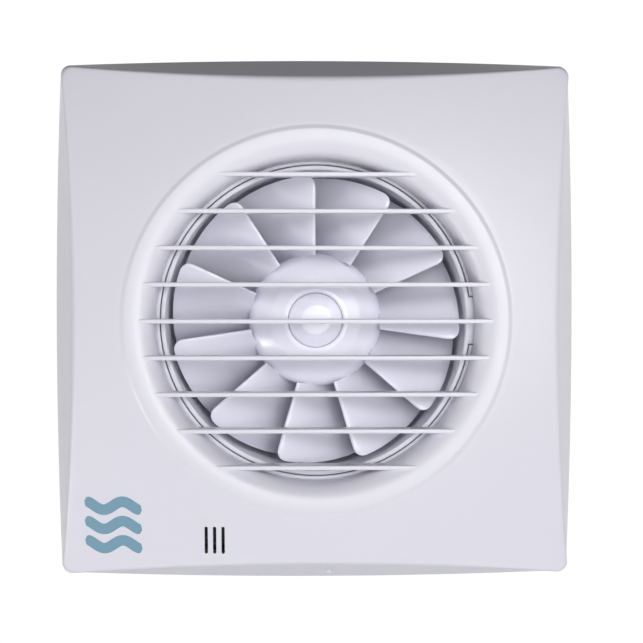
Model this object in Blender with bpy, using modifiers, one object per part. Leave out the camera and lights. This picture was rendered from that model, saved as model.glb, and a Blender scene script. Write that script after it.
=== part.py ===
"""Bathroom extractor fan for a 100 mm wall duct, as an assembly of separate sub-parts.

Every piece is laid out on a bench: x to the right, y up, z out of the wall towards the room, with z = 0
at the wall and the duct's axis at x = y = 0. One empty then stands the bench up, so that the finished fan
faces -Y and its spigot points along +Y. All sizes are in metres.
"""
import math

import bmesh
import bpy
from mathutils import Matrix, Vector

MM = 0.001

# Fits
TOUCH_GAP = 0.3 * MM        # between two pieces that rest on or against each other
BEARING_GAP = 0.15 * MM     # radial, shaft in bearing
PIN_GAP = 0.25 * MM         # radial, knuckle on hinge pin
TIP_GAP = 1.45 * MM         # radial, blade tip to carrier ring
SPIN_GAP = 1.5 * MM         # axial, between turning and fixed pieces
REACH = 1.0 * MM            # how far a cutter or a joined shape runs past the face it works on

# Duct tube, moulded in one with the back plate
TUBE_R = 49.5 * MM          # outside, slips into a 100 mm duct
TUBE_WALL = 2.0 * MM
TUBE_CHAMFER = 0.6 * MM
SPIGOT_LENGTH = 76.0 * MM   # behind the wall face
RIM_Z = 17.8 * MM           # front rim of the tube
PLATE_THICKNESS = 2.5 * MM
BASE_ROOT = 1.0 * MM         # bosses and sockets start this far inside the plate
TRAY_WALL = 1.6 * MM
TRAY_HEIGHT = 10.0 * MM
TRAY_CORNER = 5.0 * MM
SCREW_INSET = 10.0 * MM     # wall-fixing hole, in from both edges of the tray
SCREW_HOLE_R = 2.4 * MM
SCREW_BOSS_R = 4.5 * MM
SCREW_BOSS_HEIGHT = 2.0 * MM
TUBE_SIDES = 48

# Circuit board, in the strip below the tube
BOARD_WIDTH = 19.0 * MM
BOARD_LEFT = -57.0 * MM
BOARD_RIGHT = 46.0 * MM
BOARD_THICKNESS = 1.6 * MM
BOARD_STANDOFF = 3.5 * MM
BOARD_TUBE_GAP = 3.0 * MM
BOARD_EDGE_GAP = 1.4 * MM
BOARD_SCREW_INSET = 4.0 * MM
BOARD_CORNER = 1.5 * MM
PART_CORNER = 0.5 * MM
FILM_CAPACITOR = (13.0 * MM, 8.0 * MM, 9.0 * MM)
FILM_CAPACITOR_INSET = 13.0 * MM
SMOOTHING_CAPACITOR_R = 3.6 * MM
SMOOTHING_CAPACITOR_HEIGHT = 9.0 * MM
SMOOTHING_CAPACITOR_OFFSET = 10.5 * MM     # to the right of the sensor
CHIP = (6.0 * MM, 4.0 * MM, 1.5 * MM)
CHIP_OFFSET = 3.0 * MM       # to the right of the lens
CHIP_INSET = 5.0 * MM
SENSOR = (8.0 * MM, 6.0 * MM, 9.0 * MM)
LIGHT = (3.6 * MM, 3.0 * MM, 7.0 * MM)
LIGHT_INSET = 2.2 * MM
LIGHT_NOSE_R = 1.2 * MM
LIGHT_NOSE_LENGTH = 2.3 * MM
TRIMMER_WIDTH = 6.4 * MM
TRIMMER_HEIGHT = 3.4 * MM
TRIMMER_POCKET_R = 2.3 * MM
TRIMMER_POCKET_DEPTH = 1.4 * MM
TRIMMER_DROP = 2.0 * MM      # below the board's middle line
TIMER_OFFSET = -12.5 * MM    # from the lens
HUMIDITY_OFFSET = 9.5 * MM
ADJUSTER_PROUD = 0.6 * MM
ADJUSTER_SLOT = (0.7 * MM, 3.2 * MM)
ADJUSTER_SLOT_FLOOR = 0.2 * MM             # below the trimmer's top
PLUG_INSET = 1.6 * MM
PLUG_WIDTH = 8.0 * MM
PLUG_DEPTH = 5.0 * MM
PLUG_HEIGHT = 5.0 * MM
TERMINAL_WAYS = 3
TERMINAL_PITCH = 7.0 * MM
TERMINAL_DEPTH = 10.0 * MM
TERMINAL_HEIGHT = 9.0 * MM
TERMINAL_END_INSET = 2.0 * MM
TERMINAL_LOW_INSET = 1.0 * MM
TERMINAL_WELL_R = 2.2 * MM
TERMINAL_WELL_DEPTH = 5.0 * MM
TERMINAL_SCREW_Y = 4.0 * MM  # from the block's lower side
TERMINAL_SCREW_LENGTH = 2.2 * MM
TERMINAL_SCREW_DROP = 2.4 * MM             # screw heads seat this far below the block's top
WIRE_ENTRY_WIDTH = 3.6 * MM
WIRE_ENTRY_LOW = 1.0 * MM
WIRE_ENTRY_HIGH = 4.5 * MM
WIRE_ENTRY_END = 3.0 * MM    # from the screw's middle
SMALL_SCREW_R = 1.0 * MM
SMALL_HEAD_R = 1.9 * MM
SMALL_HEAD_HEIGHT = 1.2 * MM
SMALL_SCREW_LENGTH = 5.5 * MM
DRIVE_SLOT_WIDTH = 0.5 * MM
DRIVE_SLOT_DEPTH = 0.5 * MM
STANDOFF_R = 2.6 * MM

# Fascia
FASCIA_OVERHANG = 5.0 * MM   # from the tray's side to the fascia's corner, at the wall
FASCIA_CORNER = 3.0 * MM
FASCIA_BOW = 1.5 * MM        # how far each side swells at its middle, at the wall
FRONT_INSET_CORNER = 2.0 * MM
FRONT_INSET_MIDDLE = 6.2 * MM
FASCIA_WALL = 2.2 * MM
INSIDE_DRAFT = 1.2 * MM      # the inside leans in this much more than the outside
FASCIA_FOOT = 0.5 * MM       # the fascia's rear edge stops just short of the wall
EDGE_ROUND = 1.6 * MM
CORNER_DROP = 12.9 * MM      # the domed face, from the crest's foot down to its corners
CREST_STEP = 0.6 * MM
CREST_WIDTH = 1.8 * MM
BELL_WIDTH = 8.9 * MM
BELL_DEPTH = 9.7 * MM
BELL_FULLNESS = 3.2          # 2 gives a quarter ellipse, more a flatter mouth with a tighter throat
THROAT_GAP = 0.6 * MM        # between the fascia's throat and the tube's rim
THROAT_OVERLAP = 1.0 * MM    # the throat is this much narrower than the tube's outside
SLAT_COUNT = 9
SLAT_PITCH = 11.0 * MM
SLAT_THICKNESS = 1.4 * MM
SLAT_RECESS = 0.3 * MM       # slats' front edges, behind the crest
SIDE_POINTS = 9
CORNER_POINTS = 3
SLOT_COUNT = 3
SLOT_PITCH = 2.55 * MM
SLOT_WIDTH = 1.0 * MM
SLOT_LENGTH = 8.4 * MM
SLOT_X = -30.6 * MM
SENSOR_INSET = 13.6 * MM     # sensor and slots, below the board's upper edge
POST_R = 2.0 * MM
POST_Y = 30.0 * MM
POST_INSET = 12.0 * MM
POST_FOOT_Z = 5.0 * MM
SOCKET_WALL = 1.7 * MM
SOCKET_HEIGHT = 12.0 * MM

# Indicator light
LENS_X = 4.3 * MM
LENS_Z = 12.6 * MM
LENS_R = 1.0 * MM
LENS_PROUD = 1.0 * MM
LENS_INSIDE = 0.8 * MM       # inner end, in from the tray's side

# Motor carrier: a sleeve inside the tube with three struts and a motor cup
CARRIER_WALL = 1.4 * MM
LEDGE_DEPTH = 1.3 * MM
LEDGE_THICKNESS = 2.0 * MM
STRUT_ANGLES = (30.0, 150.0, 270.0)
STRUT_WIDTH = 3.2 * MM
STRUT_DEPTH = 8.0 * MM
CUP_WALL = 1.7 * MM
CUP_FLOOR = 2.0 * MM
VENT_GAP = 1.5 * MM          # radial, round the rear bearing's seat
STRUT_ROOT = 0.5 * MM        # struts start and end this far inside the cup and the sleeve
LUG_WIDTH = 14.4 * MM
LUG_HEIGHT = 5.0 * MM

# Impeller
BLADE_COUNT = 11
BLADE_FRONT_GAP = 3.3 * MM   # blade fronts, behind the tube's rim
BLADE_DEPTH = 20.5 * MM
BLADE_THICKNESS = 1.3 * MM
BLADE_REAR_GAP = 0.5 * MM    # blades' rear edges, in front of the hub's
BLADE_TURN = 34.0            # degrees from front edge to rear edge
BLADE_CURL = 1.4             # 1 gives a straight slope, more a flatter front and a steeper rear
BLADE_ROOT_DROP = 1.8 * MM   # front edge at the root, behind the tip's
TIP_CORNER = 2.0 * MM        # how far the tip's front corner is cut back
FIRST_BLADE = 90.0           # polar angle of one blade's front edge
HUB_R = 21.0 * MM
HUB_WALL = 2.0 * MM
HUB_NOSE_DROP = 1.5 * MM
HUB_NOSE_DEPTH = 9.5 * MM    # rounded part of the hub, from its front
CAP_R = 8.3 * MM
CAP_THICKNESS = 2.6 * MM
CAP_CROWN = 0.9 * MM         # the cap's middle stands proud of the hub
SHAFT_R = 2.0 * MM
SHAFT_BOSS_R = 4.5 * MM
SHAFT_BOSS_GAP = 2.0 * MM    # the boss ends in front of the hub's rear edge

# Motor
MOTOR_R = 21.0 * MM
MOTOR_LENGTH = 26.5 * MM
MOTOR_WALL = 1.2 * MM
CAN_LENGTH = 19.0 * MM
CAN_CORNER = 1.0 * MM
SHAFT_HOLE_GAP = 0.6 * MM
BEARING_R = 3.95 * MM
BEARING_LENGTH = 4.0 * MM
SEAT_WALL = 1.0 * MM
STACK_LENGTH = 12.0 * MM
STACK_GAP = 1.6 * MM         # between the front bearing and the stack
YOKE_WIDTH = 3.5 * MM
ROTOR_R = 8.5 * MM
AIR_GAP = 0.6 * MM
POLE_COUNT = 4
FIRST_POLE = 45.0
POLE_WIDTH = 5.0 * MM
COIL_THICKNESS = 2.0 * MM
COIL_END_GAP = 1.0 * MM
MOTOR_SCREW_CIRCLE = 14.0 * MM
MOTOR_SCREW_LENGTH = 5.0 * MM
MOTOR_SCREW_ANGLES = (90.0, 210.0, 330.0)
LEAD_R = 0.7 * MM
LEAD_ANGLE = 265.0
LEAD_HOLE_GAP = 0.8 * MM
LEAD_SLOT_END = 2.0 * MM     # the carrier's slot runs on past both ends of the lead's drop
LEAD_CLEAR = 4.0 * MM        # lead above the struts, on its way in to the motor
PLUG_LEAD_HEIGHT = 2.0 * MM  # where the lead leaves its plug, above the board

# Cable entry
GROMMET_R = 6.0 * MM
GROMMET_BORE_R = 3.6 * MM
GROMMET_LIP = 1.0 * MM       # flange, beyond the hole
GROMMET_FLANGE = 1.5 * MM    # flange's thickness
GROMMET_INSET = 12.5 * MM
GROMMET_Y = -41.0 * MM
CLAMP_LENGTH = 15.0 * MM
CLAMP_WIDTH = 5.0 * MM
CLAMP_THICKNESS = 2.0 * MM
CLAMP_SCREW_INSET = 2.5 * MM
CLAMP_CORNER = 1.5 * MM
CLAMP_INSET = 16.5 * MM
CLAMP_Y = -53.0 * MM

# Backdraught shutter
SHUTTER_WALL = 2.2 * MM
SHUTTER_DEPTH = 14.0 * MM
SEAT_WIDTH = 2.0 * MM
SEAT_THICKNESS = 2.0 * MM
FLAP_THICKNESS = 1.0 * MM
FLAP_EDGE_GAP = 0.5 * MM
FLAP_HINGE_GAP = 0.4 * MM    # straight edge, beside the knuckles
CENTRE_BAR_WIDTH = 4.4 * MM
HINGE_DROP = 1.0 * MM        # the hinge's line, behind the flaps
HINGE_PIN_R = 1.0 * MM
PIN_INSET = 0.5 * MM         # pin's ends, inside the ring's outside
KNUCKLE_WALL = 0.65 * MM
KNUCKLE_LENGTH = 8.0 * MM
TAB_LAP = 2.0 * MM           # knuckles' tabs, into the flap
LEFT_KNUCKLE = 22.0 * MM     # from the duct's axis, above and below
RIGHT_KNUCKLE = 34.0 * MM
SPRING_WIRE_R = 0.25 * MM
SPRING_TURNS = 3
SPRING_PITCH = 0.8 * MM
SPRING_LEG = 9.0 * MM
SPRING_GAP = 0.15 * MM       # between the wire and what it lies against
LEFT_SPRING = -6.0 * MM      # where each spring starts along the pin
RIGHT_SPRING = 3.0 * MM

# Places that several pieces share
TUBE_BORE_R = TUBE_R - TUBE_WALL
TRAY_HALF = TUBE_R + BOARD_TUBE_GAP + BOARD_WIDTH + BOARD_EDGE_GAP + TRAY_WALL
FACE_HALF = TRAY_HALF + FASCIA_OVERHANG
SCREW_HOLE = TRAY_HALF - SCREW_INSET
POST_X = TRAY_HALF - POST_INSET
BOARD_TOP = -(TUBE_R + BOARD_TUBE_GAP)
BOARD_BOTTOM = BOARD_TOP - BOARD_WIDTH
BOARD_Z = PLATE_THICKNESS + BOARD_STANDOFF + TOUCH_GAP
PARTS_Z = BOARD_Z + BOARD_THICKNESS + TOUCH_GAP
BOARD_SCREWS_X = (BOARD_LEFT + BOARD_SCREW_INSET, BOARD_RIGHT - BOARD_SCREW_INSET)
BOARD_SCREWS_Y = BOARD_TOP - BOARD_SCREW_INSET
SENSOR_Y = BOARD_TOP - SENSOR_INSET

THROAT_R = TUBE_R - THROAT_OVERLAP
THROAT_Z = RIM_Z + THROAT_GAP
CREST_Z = THROAT_Z + BELL_DEPTH
BELL_R = THROAT_R + BELL_WIDTH
CREST_R = BELL_R + CREST_WIDTH
FRONT_CORNER = FACE_HALF - FRONT_INSET_CORNER
DOME_R = (2 * FRONT_CORNER ** 2 - CREST_R ** 2) / (2 * CORNER_DROP)
SLAT_FRONT = CREST_Z - SLAT_RECESS
SLAT_REAR = THROAT_Z

CARRIER_R = TUBE_BORE_R - TOUCH_GAP
CARRIER_BORE_R = CARRIER_R - CARRIER_WALL
BLADE_TIP_R = CARRIER_BORE_R - TIP_GAP
BLADE_FRONT = RIM_Z - BLADE_FRONT_GAP
BLADE_REAR = BLADE_FRONT - BLADE_DEPTH
HUB_FRONT = BLADE_FRONT - HUB_NOSE_DROP
HUB_FLOOR = HUB_FRONT - CAP_THICKNESS
MOTOR_FRONT = BLADE_REAR - SPIN_GAP
MOTOR_REAR = MOTOR_FRONT - MOTOR_LENGTH
CAN_REAR = MOTOR_FRONT - CAN_LENGTH
CUP_FLOOR_Z = MOTOR_REAR - TOUCH_GAP
STRUT_REAR = CUP_FLOOR_Z - CUP_FLOOR
STRUT_FRONT = STRUT_REAR + STRUT_DEPTH
LEAD_Z = STRUT_FRONT + LEAD_CLEAR
STACK_FRONT = MOTOR_FRONT - MOTOR_WALL - BEARING_LENGTH - STACK_GAP
STACK_REAR = STACK_FRONT - STACK_LENGTH

SHUTTER_R = TUBE_BORE_R - TOUCH_GAP
SHUTTER_BORE_R = SHUTTER_R - SHUTTER_WALL
SHUTTER_REAR = -SPIGOT_LENGTH
SHUTTER_FRONT = SHUTTER_REAR + SHUTTER_DEPTH
SEAT_REAR = SHUTTER_FRONT - SEAT_THICKNESS
FLAP_FRONT = SEAT_REAR - TOUCH_GAP
FLAP_REAR = FLAP_FRONT - FLAP_THICKNESS
KNUCKLE_BORE_R = HINGE_PIN_R + PIN_GAP
KNUCKLE_R = KNUCKLE_BORE_R + KNUCKLE_WALL
HINGE_Z = FLAP_REAR - HINGE_DROP
FLAP_R = SHUTTER_BORE_R - FLAP_EDGE_GAP
FLAP_INNER_X = KNUCKLE_R + FLAP_HINGE_GAP

FINISHES = {
    # name: (linear colour, roughness, metallic)
    "white_abs": ((0.71, 0.71, 0.76), 0.32, 0.0),
    "grey_plastic": ((0.42, 0.42, 0.47), 0.45, 0.0),
    "black_plastic": ((0.02, 0.02, 0.022), 0.45, 0.0),
    "clear_lens": ((0.86, 0.9, 0.95), 0.1, 0.0),
    "zinc_steel": ((0.55, 0.56, 0.58), 0.3, 1.0),
    "laminated_steel": ((0.22, 0.22, 0.24), 0.42, 1.0),
    "copper_wire": ((0.62, 0.25, 0.11), 0.3, 1.0),
    "brass": ((0.65, 0.48, 0.2), 0.28, 1.0),
    "green_laminate": ((0.02, 0.16, 0.06), 0.35, 0.0),
    "grey_rubber": ((0.08, 0.08, 0.085), 0.7, 0.0),
    "blue_plastic": ((0.05, 0.15, 0.42), 0.4, 0.0),
    "film_epoxy": ((0.55, 0.42, 0.05), 0.35, 0.0),
}


def finish_material(name):
    """The material of that finish, made on first use."""
    if name in bpy.data.materials:
        return bpy.data.materials[name]
    colour, roughness, metallic = FINISHES[name]
    made = bpy.data.materials.new(name)
    made.use_nodes = True
    shader = made.node_tree.nodes["Principled BSDF"]
    shader.inputs["Base Color"].default_value = (*colour, 1.0)
    shader.inputs["Roughness"].default_value = roughness
    shader.inputs["Metallic"].default_value = metallic
    return made


class Bench:
    """Collects the pieces in one collection and the cutters in another, all on the same empty."""

    def __init__(self):
        scene = bpy.context.scene
        self.pieces = bpy.data.collections.new("bathroom_extractor_fan")
        self.cutters = bpy.data.collections.new("cutters")
        scene.collection.children.link(self.pieces)
        scene.collection.children.link(self.cutters)
        self.stand = self.axis_empty("wall_stand", (0.0, 0.0, 0.0), None)
        self.stand.rotation_euler = (math.radians(90), 0.0, 0.0)

    def axis_empty(self, name, at, parent):
        empty = bpy.data.objects.new(name, None)
        empty.empty_display_size = 0.02
        empty.location = at
        empty.parent = parent
        self.pieces.objects.link(empty)
        return empty

    def add(self, name, data, finish, at=(0.0, 0.0, 0.0), parent=None):
        """Put mesh or curve data on the bench as a named piece, or as a cutter if it has no finish."""
        made = bpy.data.objects.new(name, data)
        made.location = at
        made.parent = parent or self.stand
        if finish is None:
            self.cutters.objects.link(made)
            made.hide_render = True
            made.display_type = "WIRE"
        else:
            self.pieces.objects.link(made)
            data.materials.append(finish_material(finish))
        return made

    def add_bmesh(self, name, shape, finish, at=(0.0, 0.0, 0.0), parent=None, smooth=True):
        data = bpy.data.meshes.new(name)
        shape.to_mesh(data)
        shape.free()
        if smooth and len(data.polygons):
            data.shade_smooth()
            data.set_sharp_from_angle(angle=math.radians(35))
        return self.add(name, data, finish, at, parent)

    def turned(self, name, profile, finish, at=(0.0, 0.0, 0.0), parent=None, sides=TUBE_SIDES):
        """A closed (radius, z) profile turned about the line through at along z."""
        shape = bmesh.new()
        ring = [shape.verts.new((radius, 0.0, z)) for radius, z in outer_side_down(profile)]
        for start, end in zip(ring, ring[1:] + ring[:1]):
            shape.edges.new((start, end))
        made = self.add_bmesh(name, shape, finish, at, parent)
        screw = made.modifiers.new("turned", "SCREW")
        screw.steps = screw.render_steps = sides
        screw.use_merge_vertices = True
        screw.merge_threshold = 1e-5
        return made

    def rod(self, name, radius, low, high, finish, at=(0.0, 0.0, 0.0), parent=None, sides=16, along="z"):
        """A round bar between two heights along z, or between two places along y."""
        shape = bmesh.new()
        middle = (low + high) / 2
        place = Matrix.Translation((0.0, 0.0, middle))
        if along == "y":
            place = Matrix.Rotation(math.radians(-90), 4, "X") @ place
        bmesh.ops.create_cone(shape, cap_ends=True, segments=sides, radius1=radius, radius2=radius,
                              depth=high - low, matrix=place)
        return self.add_bmesh(name, shape, finish, at, parent)

    def block(self, name, x, y, z, finish, at=(0.0, 0.0, 0.0), parent=None, turn=0.0, corner=0.0):
        """A box between pairs of places, its upright edges rounded by corner, turned about z in degrees."""
        shape = bmesh.new()
        size = Vector((x[1] - x[0], y[1] - y[0], z[1] - z[0]))
        middle = Vector((x[0] + x[1], y[0] + y[1], z[0] + z[1])) / 2
        place = Matrix.Rotation(math.radians(turn), 4, "Z") @ Matrix.Translation(middle)
        bmesh.ops.create_cube(shape, size=1.0, matrix=place @ Matrix.Diagonal((*size, 1.0)))
        if corner:
            upright = [edge for edge in shape.edges
                       if abs(edge.verts[0].co.z - edge.verts[1].co.z) > size.z / 2]
            bmesh.ops.bevel(shape, geom=upright, offset=corner, segments=3, profile=0.5, affect="EDGES")
        return self.add_bmesh(name, shape, finish, at, parent, smooth=bool(corner))

    def wire(self, name, points, radius, finish, at=(0.0, 0.0, 0.0), parent=None):
        """A round wire through the points."""
        data = bpy.data.curves.new(name, "CURVE")
        data.dimensions = "3D"
        data.bevel_depth = radius
        data.bevel_resolution = 2
        data.use_fill_caps = True
        spline = data.splines.new("POLY")
        spline.points.add(len(points) - 1)
        for knot, point in zip(spline.points, points):
            knot.co = (*point, 1.0)
        return self.add(name, data, finish, at, parent)


def outer_side_down(profile):
    """The profile in the order whose outer side runs from top to bottom."""
    loop = zip(profile, profile[1:] + profile[:1])
    twice_area = sum(r0 * z1 - r1 * z0 for (r0, z0), (r1, z1) in loop)
    return profile if twice_area < 0 else profile[::-1]


def ring_section(inner, outer, low, high):
    return [(inner, high), (outer, high), (outer, low), (inner, low)]


def apply_boolean(target, tool, operation):
    change = target.modifiers.new(f"{operation.lower()} {tool.name}"[:60], "BOOLEAN")
    change.operation = operation
    change.solver = "EXACT"
    change.object = tool


def cut(target, *tools):
    for tool in tools:
        apply_boolean(target, tool, "DIFFERENCE")


def unite(target, *tools):
    for tool in tools:
        apply_boolean(target, tool, "UNION")


def polar(radius, degrees, z=0.0):
    angle = math.radians(degrees)
    return (radius * math.cos(angle), radius * math.sin(angle), z)


def smooth_route(knots, per_span):
    """Points on a Catmull-Rom curve through the knots."""
    knots = [Vector(knot) for knot in knots]
    padded = [2 * knots[0] - knots[1], *knots, 2 * knots[-1] - knots[-2]]
    points = []
    for before, start, end, after in zip(padded, padded[1:], padded[2:], padded[3:]):
        for step in range(per_span):
            t = step / per_span
            points.append(0.5 * (2 * start + (end - before) * t
                                 + (2 * before - 5 * start + 4 * end - after) * t ** 2
                                 + (3 * start - before - 3 * end + after) * t ** 3))
    return [*points, knots[-1]]


# ---------------------------------------------------------------- housing

def make_base_housing(bench):
    """Back plate with a tray wall, and the duct tube moulded through it."""
    low, high = -TRAY_HALF, TRAY_HALF
    housing = bench.block("base_housing", (low, high), (low, high), (0.0, TRAY_HEIGHT), "white_abs",
                          corner=TRAY_CORNER)
    inside = TRAY_HALF - TRAY_WALL
    cut(housing, bench.block("cut_tray_inside", (-inside, inside), (-inside, inside),
                             (PLATE_THICKNESS, TRAY_HEIGHT + REACH), None,
                             corner=TRAY_CORNER - TRAY_WALL))
    cut(housing, bench.rod("cut_plate_bore", TUBE_R - TUBE_WALL / 2, -REACH, TRAY_HEIGHT, None,
                           sides=TUBE_SIDES))
    ledge_top = STRUT_REAR - TOUCH_GAP
    ledge_r, ledge_bottom = TUBE_BORE_R - LEDGE_DEPTH, ledge_top - LEDGE_THICKNESS
    tube = [(TUBE_BORE_R, RIM_Z), (TUBE_R - TUBE_CHAMFER, RIM_Z), (TUBE_R, RIM_Z - TUBE_CHAMFER),
            (TUBE_R, TUBE_CHAMFER - SPIGOT_LENGTH), (TUBE_R - TUBE_CHAMFER, -SPIGOT_LENGTH),
            (TUBE_BORE_R, -SPIGOT_LENGTH), (TUBE_BORE_R, ledge_bottom - LEDGE_DEPTH),
            (ledge_r, ledge_bottom), (ledge_r, ledge_top), (TUBE_BORE_R, ledge_top)]
    unite(housing, bench.turned("join_tube", tube, None))
    for index, (side, level) in enumerate(((-1, -1), (1, -1), (1, 1), (-1, 1)), start=1):
        centre = (side * SCREW_HOLE, level * SCREW_HOLE, 0.0)
        boss_top = PLATE_THICKNESS + SCREW_BOSS_HEIGHT
        unite(housing, bench.rod(f"join_screw_boss_{index}", SCREW_BOSS_R, BASE_ROOT, boss_top, None,
                                 centre))
        cut(housing, bench.rod(f"cut_screw_hole_{index}", SCREW_HOLE_R, -REACH, boss_top + REACH, None,
                               centre))
        post = (side * POST_X, level * POST_Y, 0.0)
        socket_r = POST_R + TOUCH_GAP
        unite(housing, bench.rod(f"join_socket_{index}", socket_r + SOCKET_WALL, BASE_ROOT, SOCKET_HEIGHT,
                                 None, post))
        cut(housing, bench.rod(f"cut_socket_{index}", socket_r, PLATE_THICKNESS / 2, SOCKET_HEIGHT + REACH,
                               None, post))
    for index, x in enumerate(BOARD_SCREWS_X, start=1):
        centre = (x, BOARD_SCREWS_Y, 0.0)
        top = PLATE_THICKNESS + BOARD_STANDOFF
        unite(housing, bench.rod(f"join_standoff_{index}", STANDOFF_R, BASE_ROOT, top, None, centre))
        cut(housing, bench.rod(f"cut_standoff_{index}", SMALL_SCREW_R + TOUCH_GAP, PLATE_THICKNESS / 2,
                               top + REACH, None, centre))
    grommet = (TRAY_HALF - GROMMET_INSET, GROMMET_Y, 0.0)
    cut(housing, bench.rod("cut_cable_entry", GROMMET_R, -REACH, PLATE_THICKNESS + REACH, None, grommet))
    for index, x in enumerate(clamp_screws_x(), start=1):
        centre = (x, CLAMP_Y, 0.0)
        top = PLATE_THICKNESS + BOARD_STANDOFF
        unite(housing, bench.rod(f"join_clamp_boss_{index}", STANDOFF_R, BASE_ROOT, top, None, centre))
        cut(housing, bench.rod(f"cut_clamp_boss_{index}", SMALL_SCREW_R + TOUCH_GAP, PLATE_THICKNESS / 2,
                               top + REACH, None, centre))
    notch = LUG_WIDTH / 2 + TOUCH_GAP
    cut(housing, bench.block("cut_lug_notch", (TUBE_BORE_R - REACH, TUBE_R + REACH), (-notch, notch),
                             (RIM_Z - LUG_HEIGHT - TOUCH_GAP, RIM_Z + REACH), None))
    hole = bench.rod("cut_lead_hole", LEAD_R + LEAD_HOLE_GAP, TUBE_BORE_R - REACH, TUBE_R + REACH, None,
                     (0.0, 0.0, lead_entry_z()), along="y", sides=16)
    hole.rotation_euler = (0.0, 0.0, math.radians(LEAD_ANGLE - 90))
    cut(housing, hole)


def clamp_screws_x():
    centre = TRAY_HALF - CLAMP_INSET
    reach = CLAMP_LENGTH / 2 - CLAMP_SCREW_INSET
    return centre - reach, centre + reach


def lead_entry_z():
    return PARTS_Z + PLUG_LEAD_HEIGHT


def make_motor_carrier(bench):
    """Sleeve that drops into the tube, with three struts and a cup for the motor."""
    sleeve = ring_section(CARRIER_BORE_R, CARRIER_R, STRUT_REAR, RIM_Z)
    carrier = bench.turned("motor_carrier", sleeve, "grey_plastic")
    cup_bore = MOTOR_R + TOUCH_GAP
    cup_r = cup_bore + CUP_WALL
    vent_r = BEARING_R + SEAT_WALL + VENT_GAP
    for index, angle in enumerate(STRUT_ANGLES, start=1):
        unite(carrier, bench.block(f"join_strut_{index}", (cup_bore + STRUT_ROOT, CARRIER_R - STRUT_ROOT),
                                   (-STRUT_WIDTH / 2, STRUT_WIDTH / 2), (STRUT_REAR, STRUT_FRONT), None,
                                   turn=angle))
    cup = [(vent_r, CUP_FLOOR_Z), (cup_bore, CUP_FLOOR_Z), (cup_bore, STRUT_FRONT + REACH),
           (cup_r, STRUT_FRONT + REACH), (cup_r, STRUT_REAR), (vent_r, STRUT_REAR)]
    unite(carrier, bench.turned("join_motor_cup", cup, None, sides=32))
    lug = bench.block("join_lug", (CARRIER_R - CARRIER_WALL / 2, TUBE_R - TOUCH_GAP),
                      (-LUG_WIDTH / 2, LUG_WIDTH / 2), (RIM_Z - LUG_HEIGHT, RIM_Z), None)
    unite(carrier, lug)
    for index, angle in enumerate(MOTOR_SCREW_ANGLES, start=1):
        cut(carrier, bench.rod(f"cut_carrier_screw_{index}", SMALL_SCREW_R + TOUCH_GAP,
                               STRUT_REAR - REACH, CUP_FLOOR_Z + REACH, None,
                               polar(MOTOR_SCREW_CIRCLE, angle), sides=16))
    half = LEAD_R + LEAD_HOLE_GAP
    slot = bench.block("cut_lead_slot", (CARRIER_BORE_R - REACH, CARRIER_R + REACH), (-half, half),
                       (LEAD_Z - LEAD_SLOT_END, lead_entry_z() + LEAD_SLOT_END), None, turn=LEAD_ANGLE)
    cut(carrier, slot)


# ---------------------------------------------------------------- fascia

def square_outline(half, bow, corner):
    """A square ring of points whose sides swell outwards by bow at their middles, from the right side."""
    points = []
    for side in range(4):
        turn = Matrix.Rotation(side * math.pi / 2, 2)
        for step in range(SIDE_POINTS):
            t = 2 * step / (SIDE_POINTS - 1) - 1
            points.append(turn @ Vector((half + bow * (1 - t * t), t * (half - corner))))
        for step in range(1, CORNER_POINTS + 1):
            angle = math.pi / 2 * step / (CORNER_POINTS + 1)
            arc = Vector((math.cos(angle), math.sin(angle))) * corner
            points.append(turn @ (Vector((half - corner, half - corner)) + arc))
    return points


def circle_outline(radius):
    """A circle with as many points as square_outline, one of them at the middle of each side."""
    count = 4 * (SIDE_POINTS + CORNER_POINTS)
    middle = SIDE_POINTS // 2
    return [Vector(polar(radius, 360 * (step - middle) / count)[:2]) for step in range(count)]


def dome_height(point):
    """Height of the fascia's gently domed face, which meets the crest at its foot."""
    return CREST_Z - CREST_STEP + (CREST_R ** 2 - point.length_squared) / (2 * DOME_R)


def bell_point(degrees, offset=0.0):
    """(radius, z) on the bell-mouth's rounded section: 0 at the crest, 90 at the throat."""
    angle = math.radians(degrees)
    across = math.sin(angle) ** (2 / BELL_FULLNESS)
    height = max(math.cos(angle), 0.0) ** (2 / BELL_FULLNESS)
    radius = BELL_R - BELL_WIDTH * across
    z = THROAT_Z + BELL_DEPTH * height
    power = BELL_FULLNESS - 1
    inward = Vector((BELL_DEPTH * across ** power, -BELL_WIDTH * height ** power)).normalized()
    return radius + offset * inward.x, z + offset * inward.y


def mix_rings(outer, inner, share):
    return [a.lerp(b, share) for a, b in zip(outer, inner)]


def ring_at(points, height):
    return [Vector((point.x, point.y, height)) for point in points]


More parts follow.
